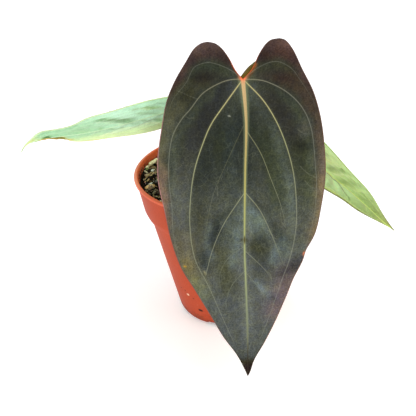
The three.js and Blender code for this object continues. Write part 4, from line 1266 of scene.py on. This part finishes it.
def front_tint(a, b, _edge):
    """Velvet of the large leaf before its veins, with painted light and shade of its quilting and
    painted sheen.
    """
    # Lighter and bluer grey towards the tip: partly the leaf's own tone, partly painted sheen
    colour = np.interp(b, *VELVET_LEVEL)[:, None] * towards(np.array([0.96, 1, 0.89]),
                                                            (0.96, 1, 0.96),
                                                            smoothstep(35, 105, b))
    stray = 0.7 * ripple(np.stack([a, b], -1), 9, 17) * smoothstep(3, 12, np.hypot(a, b))
    for half, group, index, reach, stretch, gain in FRONT_SHADING_BANDS:
        beyond = beyond_vein(a, b, half, group, index) + stray
        mask = window(beyond, *reach, 2) * window(b, *stretch, 8) * ((a >= 0) == half)
        colour = gained(colour, gain, mask)
    # Painted shade beside the midrib near the hub, and a painted highlight beside it further down
    middle = np.abs(a - 0.4)
    colour = colour * (1 - 0.08 * (1 - smoothstep(2, 6, middle)) * (1 - smoothstep(44, 54, b))
                       + 0.15 * (1 - smoothstep(1, 5, middle)) * window(b, 54, 124, 6))[:, None]

    brown = np.where(a[:, None] < 0, rim_tint(b, 0), rim_tint(b, 1))
    mask = smoothstep(-1, 4, beyond_main(a, b, 1) + stray) * smoothstep(-8, 6, b)
    colour = mix(colour, brown, (0.85 * mask * (1 - smoothstep(84, 100, b)))[:, None])
    lobe = smoothstep(-0.5, 4, beyond_main(a, b, 2) + 0.5 * stray) * (1 - smoothstep(0, 18, b))
    lobe_tint = (1 + 0.3 * smoothstep(-11, -18, b))[:, None] * (60, 47.5, 46)
    colour = mix(colour, lobe_tint, (0.85 * lobe)[:, None])
    for centre, reach, gain in FRONT_PATCHES:
        colour = gained(colour, gain, bump_at(a, b, centre, reach))
    colour = painted(colour, a, b, FRONT_STROKES)
    return towards(colour, (42, 34, 18), smoothstep(133.5, 140.5, b))


def plain_velvet_tint(a, b, edge):
    """Upper face of the two smaller leaves, which the photograph doesn't show: the large leaf's
    velvet, with its painted light and shade, drawn almost halfway to olive.
    """
    return mix(front_tint(a, b, edge), np.array((64, 78, 50.0)), 0.45)


def left_velvet_tint(a, b, edge):
    """The same, with the golden strip that the rolled margin of the left leaf shows."""
    rolled = smoothstep(98, 104, b) * (1 - smoothstep(134, 140, b)) * smoothstep(5.5, 2, a)
    strip = towards(np.array((168, 140, 70.0)), (206, 180, 84), smoothstep(3.5, 0.8, edge))
    return mix(plain_velvet_tint(a, b, edge), strip, rolled[:, None])


def left_under_tint(a, b, edge):
    lower = np.interp(b, (20, 41, 54, 66, 84, 96), (-9, -7, -6, -4, -3, 3))
    colour = tint_by_length(b, [(38, (202, 246, 214)), (66, (156, 206, 158))])
    colour = towards(colour, (220, 250, 180), smoothstep(lower, lower - 13, a))
    colour = painted(colour, a, b, LEFT_STROKES)
    rim = smoothstep(2.2, 1, edge) * (a < -2) * (1 - smoothstep(78, 84, b))
    colour = towards(colour, (222, 208, 116), 0.75 * rim)
    return towards(colour, (222, 220, 118), smoothstep(88, 108, b))


def right_under_tint(a, b, edge):
    colour = tint_by_length(b, [(48, (214, 255, 180)), (68, (186, 234, 148)),
                                (88, (160, 200, 120)), (106, (136, 168, 88))])
    lower = 0.7 * smoothstep(-1, 4, a) * (1 - 0.8 * smoothstep(78, 104, b))
    colour = towards(colour, (178, 226, 162), lower)
    colour = painted(colour, a, b, RIGHT_STROKES)
    raised = smoothstep(4, 10, a)
    colour = towards(colour, (188, 222, 104), 0.6 * window(edge, 2.3, 3.6, 0.5) * raised)
    colour = towards(colour, (108, 118, 38), 0.9 * smoothstep(2.3, 1.5, edge) * raised)
    return towards(colour, (152, 158, 76), 0.85 * smoothstep(104, 124, b))


def margin_tint(name, a, b):
    """Margin line on the velvety face, and the rim."""
    if name != "front":
        return under_margin_tint(name, a, b)
    colour = np.tile((112.0, 84, 76), (len(a), 1))
    colour = towards(colour, (190, 134, 132), window(b, 16, 62, 10) * (a < 0))
    colour = towards(colour, (108, 76, 60), 0.9 * smoothstep(2, 8, a))
    colour = towards(colour, (90, 62, 54), 1 - smoothstep(-14, 10, b))
    near_hub = np.clip(1.8 * np.exp(-(np.hypot(a, b) / 9.5) ** 2), 0, 1)
    colour = towards(colour, (194, 84, 46), near_hub)
    return towards(colour, (50, 38, 20), smoothstep(120, 132, b))


def under_margin_tint(name, a, b):
    """Margin line on the pale face."""
    near, far = LEAF_LOOKS[name]["margins"]
    raised = a > 0 if name == "left" else a < 0
    colour = np.where(raised[:, None], np.array(near, float), np.array(far, float))
    if name == "right":
        colour = towards(colour, (126, 132, 62), smoothstep(98, 118, b))
    return colour


LEAF_LOOKS = {
    "front": {"tint": front_tint, "under": right_under_tint, "vein": (206, 214, 150),
              "margins": ((150, 112, 90), (150, 112, 90)), "slot": "leaf_velvet"},
    "left": {"tint": left_velvet_tint, "under": left_under_tint, "vein": (214, 244, 198),
             "margins": ((210, 234, 174), (224, 196, 112)), "slot": "leaf_pale"},
    "right": {"tint": plain_velvet_tint, "under": right_under_tint, "vein": (204, 232, 116),
              "margins": ((158, 186, 102), (104, 120, 32)), "slot": "leaf_pale"},
}


def as_colour(values, gloss=0.0):
    """Display values as a colour attribute, less the light that the surface's gloss adds."""
    light = np.maximum(linear(values) - gloss, DARKEST)
    return np.concatenate([light, np.ones((len(values), 1))], 1)


def build_blade(name, leaf, materials):
    s, faces = blade_points(leaf)
    midrib, to_midrib = midrib_field(leaf, s)
    lift, thickness = sheet_relief(leaf, s, to_midrib)
    a, b, edge = s["a"], s["b"], s["from_margin"]
    top = place(leaf, a, b, lift)
    bottom = place(leaf, a, b, lift - thickness)
    points, faces, parts, source = wrap_sheet(top, bottom, faces)

    look = LEAF_LOOKS[name]
    flat = np.stack([a, b], -1)
    cross = np.full(len(a), FAR)
    for line in CROSS_VEINS if name == "front" else []:
        cross = np.minimum(cross, beside(flat, curve_points(line, 6))[0])
    stretch = LEAVES["front"]["length"] / leaf["length"]
    hub = np.clip(1.6 * np.exp(-(np.hypot(a * 0.8, (b + 0.5) * 1.2) / 1.05) ** 2), 0, 1)
    attributes = {
        "flat": np.stack([a, b, 0.37 * a + 0.29 * b + TEXTURE_GAP * s["half"]], -1),
        "midrib": midrib, "cross": cross, "edge": edge, "hub": hub,
        **{key: s[key] for key in ("main", "main_strength", "side", "side_strength")},
        "vein_tint": as_colour(tint_by_length(b * stretch, VEIN_STOPS)),
        "midrib_tint": as_colour(tint_by_length(b * stretch, MIDRIB_STOPS)),
        "tint": as_colour(look["tint"](a * stretch, b * stretch, edge * stretch), VELVET_GLOSS),
        "tint_under": as_colour(look["under"](a, b, edge)),
        "edge_tint": as_colour(margin_tint(name, a, b)),
        "edge_under": as_colour(under_margin_tint(name, a, b)),
        "vein_under": np.tile(rgba(*look["vein"]), (len(a), 1)),
    }
    attributes = {key: np.asarray(value)[source] for key, value in attributes.items()}
    return add_piece(f"blade_{name}", points, faces, materials, [f"leaf_{name}"],
                     parts, attributes)


# Leaf stalks

def build_stalk(name, leaf, material):
    """A round stalk with its knee, ending flush against the underside of the blade."""
    flush = STALK.sunk - BLADE.thickness
    socket, *rest = leaf["stalk"]
    points = [(*socket, STALK.socket), *rest]
    points += [place(leaf, *p)[0] for p in leaf["knee"]]
    end = place(leaf, 0, 1.2, flush)[0]
    line = Line([*points, end])
    share = np.linspace(0, 1, STALK.rings)
    centre = line.at(share)
    lower = mix(STALK.base, STALK.middle, smoothstep(0, STALK.foot_share, share))
    upper = mix(STALK.middle, STALK.knee, smoothstep(*STALK.swell, share))
    radius = np.where(share < STALK.foot_share, lower, upper)
    radius = radius * (1 + 0.012 * np.sin(share * 47) + 0.01 * np.sin(share * 101 + 2))
    knee_start = 1 - STALK.knee_length / line.length
    dent = np.exp(-((share - knee_start) / STALK.dent_width) ** 2)
    radius = radius * (1 - STALK.dent * dent)
    ring_points, faces = tube(centre, radius, STALK.sides)

    _, _, normal = leaf_directions(leaf, np.zeros(1))
    along = frames_along(centre)[0]
    plane_point = place(leaf, 0, 0, flush)[0]
    for ring in range(STALK.rings):
        share_near_end = smoothstep(1 - STALK.fit_length / line.length, 1, share[ring])
        if share_near_end == 0:
            continue
        own = slice(ring * STALK.sides, (ring + 1) * STALK.sides)
        slope = along[-1] @ normal[0]
        last = ring_points[own] + (centre[-1] - centre[ring])
        lift = (plane_point - last) @ normal[0] / slope
        ring_points[own] += lift[:, None] * along[-1] * share_near_end

    turn = np.tile(round_angles(STALK.sides), STALK.rings)
    distance = np.repeat(share * line.length, STALK.sides)
    ends = np.array([[0, 0, 0], [0, 0, line.length]])
    way = np.stack([2 * np.cos(turn), 2 * np.sin(turn), distance], -1)
    way = np.vstack([way, ends])
    knee = smoothstep(knee_start - 0.01, knee_start + 0.02, way[:, 2] / line.length)
    return add_piece(f"stalk_{name}_fine", ring_points, faces, [material],
                     [f"stalk_{name}"], attributes={"way": way, "knee": knee})


# Pot

def collar_radius(z, inset):
    rim = POT.height - POT.lip_height
    share = (z - POT.collar_foot_height) / (rim - POT.collar_foot_height)
    return mix(POT.collar_foot, POT.collar_top, share) - inset


def pot_side(inset):
    """Corners of the pot's side, set in by a wall: radius, height and the radius of the bend."""
    step = (POT.body_top - inset, POT.body_top_height)
    collar = (POT.collar_foot - inset, POT.collar_foot_height)
    shoulder = (mix(step[0], collar[0], 0.62), mix(step[1], collar[1], 0.3))
    rim = (POT.collar_top - inset, POT.height - POT.lip_height)
    return [(*step, 2.5), (*shoulder, 2), (*collar, 4), (*rim, 0.3)]


def cut(piece, cutter):
    """Subtracts the cutter from the piece and removes the cutter."""
    modifier = piece.modifiers.new("cut", "BOOLEAN")
    modifier.object = cutter
    modifier.operation = "DIFFERENCE"
    modifier.solver = "EXACT"
    depsgraph = bpy.context.evaluated_depsgraph_get()
    mesh = bpy.data.meshes.new_from_object(piece.evaluated_get(depsgraph))
    piece.modifiers.clear()
    mesh.name = piece.data.name
    piece.data = mesh
    bpy.data.objects.remove(cutter)


def drain_slots():
    """Blocks that cut the drain slots, as one object."""
    parts = []
    half = np.array([POT.slot_reach, POT.slot_width / 2, POT.slot_height / 2])
    corners = np.array([(x, y, z) for x in (-1, 1) for y in (-1, 1) for z in (-1, 1)]) * half
    sides = [(0, 1, 3, 2), (4, 6, 7, 5), (0, 4, 5, 1), (2, 3, 7, 6), (0, 2, 6, 4), (1, 5, 7, 3)]
    for i in range(POT.slots):
        turn = Matrix.Rotation(2 * math.pi * (i + 0.5) / POT.slots, 3, "Z")
        moved = corners + (POT.base_radius, 0, POT.slot_height / 2 - 0.8)
        parts.append((moved @ np.array(turn).T, sides))
    points, faces, _ = merge(parts)
    return in_scene("slots", mesh_of("slots", points, faces))


def build_pot(material):
    inner_top = POT.lip_radius - POT.lip_thickness
    rim = POT.height - POT.lip_height
    corner = POT.corner
    corners = [
        (0, 0, 0), (POT.base_radius, 0, corner), *pot_side(0),
        (POT.lip_radius, rim + 0.3, 0.4), (POT.lip_radius, POT.height, 0.75),
        (inner_top, POT.height, 0.75), *pot_side(POT.wall)[::-1],
        (POT.base_radius - POT.wall, POT.floor, corner - POT.wall),
        (0, POT.floor, 0),
    ]
    profile = subdivided(rounded(corners), POT.profile_step)
    points, faces = lathe(profile, POT.segments)
    radius = np.hypot(*points.T[:2])
    out_of_round = POT.out_of_round * np.sin(2 * np.arctan2(points[:, 1], points[:, 0]) + 0.7)
    share = points[:, 2] / POT.height
    points[:, :2] *= (1 + out_of_round * share / np.maximum(radius, 20))[:, None]
    pot = add_piece("pot_fine", points, faces, [material], ["pot"])
    cut(pot, drain_slots())
    x, y, z = np.array([v.co for v in pot.data.vertices]).T / MM
    middle_of_wall = collar_radius(z, POT.wall / 2)
    inside = (np.hypot(x, y) < middle_of_wall) & (z > POT.collar_foot_height - 1)
    set_attribute(pot.data, "inside", inside)
    pot.data.set_sharp_from_angle(angle=POT_SHARP * RAD)
    return pot


# Growing mix

def mix_mound(x, y):
    """The bed is heaped against the wall at one side."""
    return MIX.mound * bump_at(x, y, MIX.mound_at, MIX.mound_reach)


def mix_surface(x, y):
    lumps = (np.sin(x * 0.31 + 1.2) * np.cos(y * 0.27 - 0.5)
             + 0.6 * np.sin(x * 0.63 - y * 0.52 + 2.1) + 0.4 * np.cos(x * 0.9 + y * 0.84))
    return MIX.surface + MIX.relief * 0.6 * lumps + MIX.slope * (y / 50) + mix_mound(x, y)


def build_mix(material):
    """The bed of peat: a filled body with a crumbly top."""
    inset = MIX.gap
    edge = collar_radius(MIX.surface, inset)
    floor = POT.floor + CLEARANCE
    side = [(POT.base_radius - inset, POT.corner, 0), *pot_side(inset)[:-1]]
    corners = [(0, floor, 0), (POT.base_radius - inset - 2.9, floor, 0), *side,
               (edge, MIX.surface, 0)]
    profile = subdivided(rounded(corners), 3)
    top = [(edge * (1 - i / MIX.rings), MIX.surface) for i in range(1, MIX.rings)]
    profile = np.vstack([profile, top, [(0, MIX.surface)]])
    points, faces = lathe(profile, MIX.segments)
    x, y, z = points.T
    on_top = np.abs(z - MIX.surface) < 1e-3
    fade = 1 - smoothstep(edge - 2, edge, np.hypot(x, y)) * 0.7
    coarse, fine, grain = MIX.bed_seeds
    crumbs = (0.35 * ripple(points[:, :2], 3.2, coarse) + 0.3 * ripple(points[:, :2], 1.7, fine)
              + 0.18 * np.random.default_rng(grain).normal(size=len(points)))
    base = MIX.surface + mix_mound(x, y)
    height = mix(base, mix_surface(x, y), fade) + (crumbs - 0.3) * fade
    points[:, 2] = np.where(on_top, height, z)
    return add_piece("growing_mix_fine", points, faces, [material], ["growing_mix"])


def ball(levels):
    """A round template for chips and crumbs: an icosphere's points and faces."""
    mesh = bpy.data.meshes.new("ball")
    shape = bmesh.new()
    bmesh.ops.create_icosphere(shape, subdivisions=levels, radius=1)
    shape.to_mesh(mesh)
    shape.free()
    points = np.array([v.co for v in mesh.vertices])
    faces = [list(p.vertices) for p in mesh.polygons]
    bpy.data.meshes.remove(mesh)
    return points, faces


def turned(points, x, y, z):
    """Points turned about X, then Y, then Z."""
    for angle, axis in ((x, "X"), (y, "Y"), (z, "Z")):
        points = points @ np.array(Matrix.Rotation(angle, 3, axis)).T
    return points


def slab(template, size, rng, squareness=4.0):
    """A broken, rounded block of the given size, from the ball template."""
    p = template / (np.abs(template) ** squareness).sum(1, keepdims=True) ** (1 / squareness)
    p = p * (1 + 0.1 * ripple(p, 1.1, int(rng.integers(1e6)), 8)[:, None])
    return p * np.asarray(size) / 2


def build_chips(materials):
    """The loose bits on the bed: the solids' own chips, then finer ones, then those that the
    photograph shows."""
    fine, coarse = ball(4), ball(2)
    rng = np.random.default_rng(MIX.bits_seed)
    kinds = {key: [] for key in materials}
    draw = seeded_random(MIX.seed)

    def lay(kind, template, points, x, y, lift, tone):
        kinds[kind].append((points + (x, y, mix_surface(x, y) + lift), template[1], tone))

    for i in range(MIX.chips):
        spread = math.sqrt((i + 0.5) / MIX.chips)
        radius = mix(MIX.chip_inner, MIX.chip_outer, spread) - draw() * 2
        angle = i * GOLDEN_ANGLE * RAD + draw() * 0.5
        length = mix(*MIX.chip_length, draw())
        if radius > MIX.small_beyond:
            length *= MIX.small_scale
        if draw() < MIX.lump_share:
            kind = "charcoal" if i % 3 else "perlite"
            size, squareness = np.full(3, length * MIX.lump_size), 1.5
        else:
            kind = "bark" if i % 4 else "pale_bark"
            size = length * np.array([1, mix(0.45, 0.7, draw()), mix(0.3, 0.5, draw())])
            squareness = 5.0
        lean = [mix(-MIX.lean, MIX.lean, draw()) for _ in range(2)]
        turn = (*lean, draw() * FULL_TURN)
        x, y = radius * math.cos(angle), radius * math.sin(angle)
        points = turned(slab(fine[0], size, rng, squareness), *turn)
        lay(kind, fine, points, x, y, length * 0.06, rng.uniform(0.7, 1.2))

    names, shares = zip(*CRUMB_SHARES.items())
    for _ in range(MIX.crumbs):
        kind = names[rng.choice(len(names), p=shares)]
        radius = MIX.reach * math.sqrt(rng.uniform(0.03, 1))
        angle = rng.uniform(0, 2 * math.pi)
        length = 0.9 + 3.1 * rng.uniform() ** 2.5
        size = length * np.array([1, rng.uniform(0.3, 0.7), rng.uniform(0.3, 0.6)])
        radius = min(radius, MIX.wall - length / 2)
        x, y = radius * math.cos(angle), radius * math.sin(angle)
        points = turned(slab(coarse[0], size, rng, rng.uniform(1.6, 4)),
                        rng.uniform(-0.8, 0.8), rng.uniform(-0.8, 0.8), rng.uniform(0, FULL_TURN))
        lay(kind, coarse, points, x, y, length * rng.uniform(-0.05, 0.4), rng.uniform(0.14, 1.5))

    # The chips listed above, made lighter as painted light where the bed lies in shade
    for kind, start, end, width, thick in SEEN_CHIPS:
        along = np.subtract(end, start)
        size = (np.linalg.norm(along), width, thick)
        points = turned(slab(fine[0], size, rng, 2.6), 0.2, 0, math.atan2(along[1], along[0]))
        lay(kind, fine, points, *np.add(start, end) / 2, 0.3 + thick * 0.45, SEEN_LIGHT_LIFT)

    for kind, chips in kinds.items():
        points, faces, source = merge([(p, f) for p, f, _ in chips])
        tones = np.array([tone for _, _, tone in chips])[source]
        add_piece(f"mix_{kind}", points, faces, [materials[kind]],
                  attributes={"tone": tones}, sharp=CHIP_SHARP)


def build_fibres(material):
    """Coir fibres and fine twigs that lie on the bed."""
    rng = np.random.default_rng(MIX.fibre_seed)
    parts, tones = [], []
    t = np.linspace(-0.5, 0.5, 10)
    for _ in range(MIX.fibres):
        radius = MIX.fibre_reach * math.sqrt(rng.uniform(0.05, 1))
        turn = rng.uniform(0, 2 * math.pi)
        length, bow = rng.uniform(2, 8), rng.uniform(-1.2, 1.2)
        heading = rng.uniform(0, math.pi)
        along = np.array((math.cos(heading), math.sin(heading)))
        across = np.array((-along[1], along[0]))
        middle = radius * np.array((math.cos(turn), math.sin(turn)))
        flat = middle + length * t[:, None] * along + bow * 4 * t[:, None] ** 2 * across
        flat = flat * np.minimum(1, MIX.reach / np.hypot(*flat.T))[:, None]
        z = mix_surface(*flat.T) + 0.45 + rng.uniform(0, 1.3) * (0.3 - t ** 2)
        parts.append(tube(np.column_stack([flat, z]),
                          rng.uniform(*MIX.fibre_width) * (1 - (2 * t) ** 4 * 0.6), 5))
        tones.append(rng.uniform(0.5, 1.35))
    # The twigs listed above, made lighter in the same way as painted light
    for start, end, thick in SEEN_TWIGS:
        flat = mix(np.array(start), np.array(end), (t + 0.5)[:, None])
        z = mix_surface(*flat.T) + 1.1 + 0.4 * np.sin(t * 9)
        parts.append(tube(np.column_stack([flat, z]), thick * (1 + 0.25 * np.sin(t * 31)), 8))
        tones.append(SEEN_LIGHT_LIFT)
    points, faces, source = merge(parts)
    add_piece("mix_fibres", points, faces, [material],
              attributes={"tone": np.array(tones)[source]})


# Crown

def crown_root(index):
    heading = (CROWN.root_heading + index * CROWN.root_turn) * RAD
    reach = CROWN.root_reach + 1.6 * math.sin(index * 2.3)

    def at(r, z):
        turn = heading + r * 0.012
        return CROWN.x + r * math.cos(turn), CROWN.y + r * math.sin(turn), z

    return [at(4, 88.2), at(9, 88.8), at(reach - 3.4, 86.6), at(reach, 80),
            at(reach + 0.6, CROWN.root_depth)]


def scale_leaf(heading, length, seed):
    """A dry papery scale leaf, with a frayed upper edge."""
    rows, columns = 46, 40
    rng = np.random.default_rng(seed)
    v, u = np.meshgrid(np.linspace(0, 1, rows), np.linspace(-1, 1, columns), indexing="ij")
    spread = CROWN.scale_half_angle * (1 - v ** 2.2) + 3 * RAD
    angle = heading * RAD + u * spread
    pleat = 0.12 * np.sin(u * 17 + v * 2 + seed) * v
    radius = CROWN.radius - 0.6 + 2.4 * v ** 1.4 + 0.5 * v * u * u + pleat
    fray = 0.035 * np.repeat(rng.normal(size=(1, columns)), rows, axis=0) * v ** 3
    z = CROWN.scale_foot + length * v * (1 - 0.12 * u * u + fray)

    def ring(r):
        return np.stack([CROWN.x + r * np.cos(angle), CROWN.y + r * np.sin(angle), z],
                        -1).reshape(-1, 3)

    faces = grid_faces(rows, columns)
    points, faces, _, source = wrap_sheet(ring(radius + CROWN.scale_thickness), ring(radius),
                                          faces)
    way = np.stack([(u * spread * 7).ravel(), np.zeros(v.size), (v * length).ravel()], -1)
    return points, faces, way[source]


def build_crown(bark, papery):
    foot, top, radius = CROWN.foot, CROWN.top, CROWN.radius
    profile = rounded([
        (0, foot, 0), (3.6, foot, 0.8), (5.4, foot + 4, 3), (radius - 0.8, 76, 6), (radius, 85, 5),
        (radius - 0.2, top - 3.2, 2), (radius - 2, top - 0.6, 1), (0, top, 0),
    ])
    points, faces = lathe(subdivided(profile, 0.7), 72)
    x, y, z = points.T
    scars = 0.16 * np.sin(z * 2.4 + 0.5 * np.sin(2 * np.arctan2(y, x))) * (z > 84)
    rough = 0.1 * ripple(points, 1.8, 12)
    points[:, :2] *= (1 + (scars + rough) / np.maximum(np.hypot(x, y), 0.5))[:, None]
    parts = [(points + (CROWN.x, CROWN.y, 0), faces)]
    share = np.linspace(0, 1, 60)
    for index in range(CROWN.roots):
        line = Line(crown_root(index)).at(share)
        parts.append(tube(line, CROWN.root_radius * (1 - 0.28 * share), 18))
    points, faces, _ = merge(parts)
    points += 0.05 * ripple(points, 2.2, 31)[:, None]
    add_piece("crown_fine", points, faces, [bark], ["crown"])

    ways, sheets = [], []
    for seed, (heading, length) in enumerate(SCALE_LEAVES):
        sheet_points, sheet_faces, way = scale_leaf(heading, length, seed + 1)
        sheets.append((sheet_points, sheet_faces))
        ways.append(way + (0, TEXTURE_GAP * seed, 0))
    points, faces, _ = merge(sheets)
    add_piece("scale_leaves", points, faces, [papery],
              attributes={"way": np.vstack(ways)})


# Studio

def build_camera():
    pitch, roll = CAMERA.pitch * RAD, CAMERA.roll * RAD
    back = Vector((0, -math.cos(pitch), math.sin(pitch)))
    level_up = Vector((0, math.sin(pitch), math.cos(pitch)))
    level_right = Vector((1, 0, 0))
    right = level_right * math.cos(roll) + level_up * math.sin(roll)
    up = level_up * math.cos(roll) - level_right * math.sin(roll)
    data = bpy.data.cameras.new("camera")
    data.sensor_width = SENSOR
    data.lens = CAMERA.focal / CAMERA.frame * SENSOR
    data.clip_start = 0.01
    camera = in_scene("camera", data)
    turn = Matrix((right, up, back)).transposed()
    camera.matrix_world = Matrix.Translation(Vector(CAMERA.eye) * MM) @ turn.to_4x4()
    bpy.context.scene.camera = camera


def add_softbox(name, at, facing, size, power):
    data = bpy.data.lights.new(name, "AREA")
    data.shape = "DISK"
    data.size = size
    data.energy = power
    light = in_scene(name, data)
    light.location = at
    light.rotation_euler = (Vector(facing) - Vector(at)).to_track_quat("-Z", "Y").to_euler()


def build_studio():
    scene = bpy.context.scene
    scene.view_settings.view_transform = "Standard"
    world = bpy.data.worlds.new("studio")
    world.use_nodes = True
    background = world.node_tree.nodes["Background"]
    background.inputs["Color"].default_value = (1, 1, 1, 1)
    background.inputs["Strength"].default_value = WORLD_STRENGTH
    scene.world = world
    for name, values in LIGHTS.items():
        add_softbox(name, *values)

    corners = np.array([(-1, -1, 0), (1, -1, 0), (1, 1, 0), (-1, 1, 0)]) * FLOOR_REACH
    mesh = mesh_of("floor", corners, [(0, 1, 2, 3)])
    mesh.materials.append(floor_finish())
    floor = in_scene("floor", mesh)


build_camera()
build_studio()

build_pot(pot_finish())
build_mix(peat_finish())
build_chips({kind: chip_finish(f"mix_{kind}", *look) for kind, look in CHIP_LOOKS.items()})
build_fibres(chip_finish("mix_fibre", *FIBRE_LOOK))
build_crown(crown_finish(), scale_leaf_finish())

blade_materials = [velvet_finish(), underside_finish(), margin_finish()]
stalk_material = stalk_finish()
for leaf_name, leaf_values in LEAVES.items():
    build_stalk(leaf_name, leaf_values, stalk_material)
    build_blade(leaf_name, leaf_values, blade_materials)
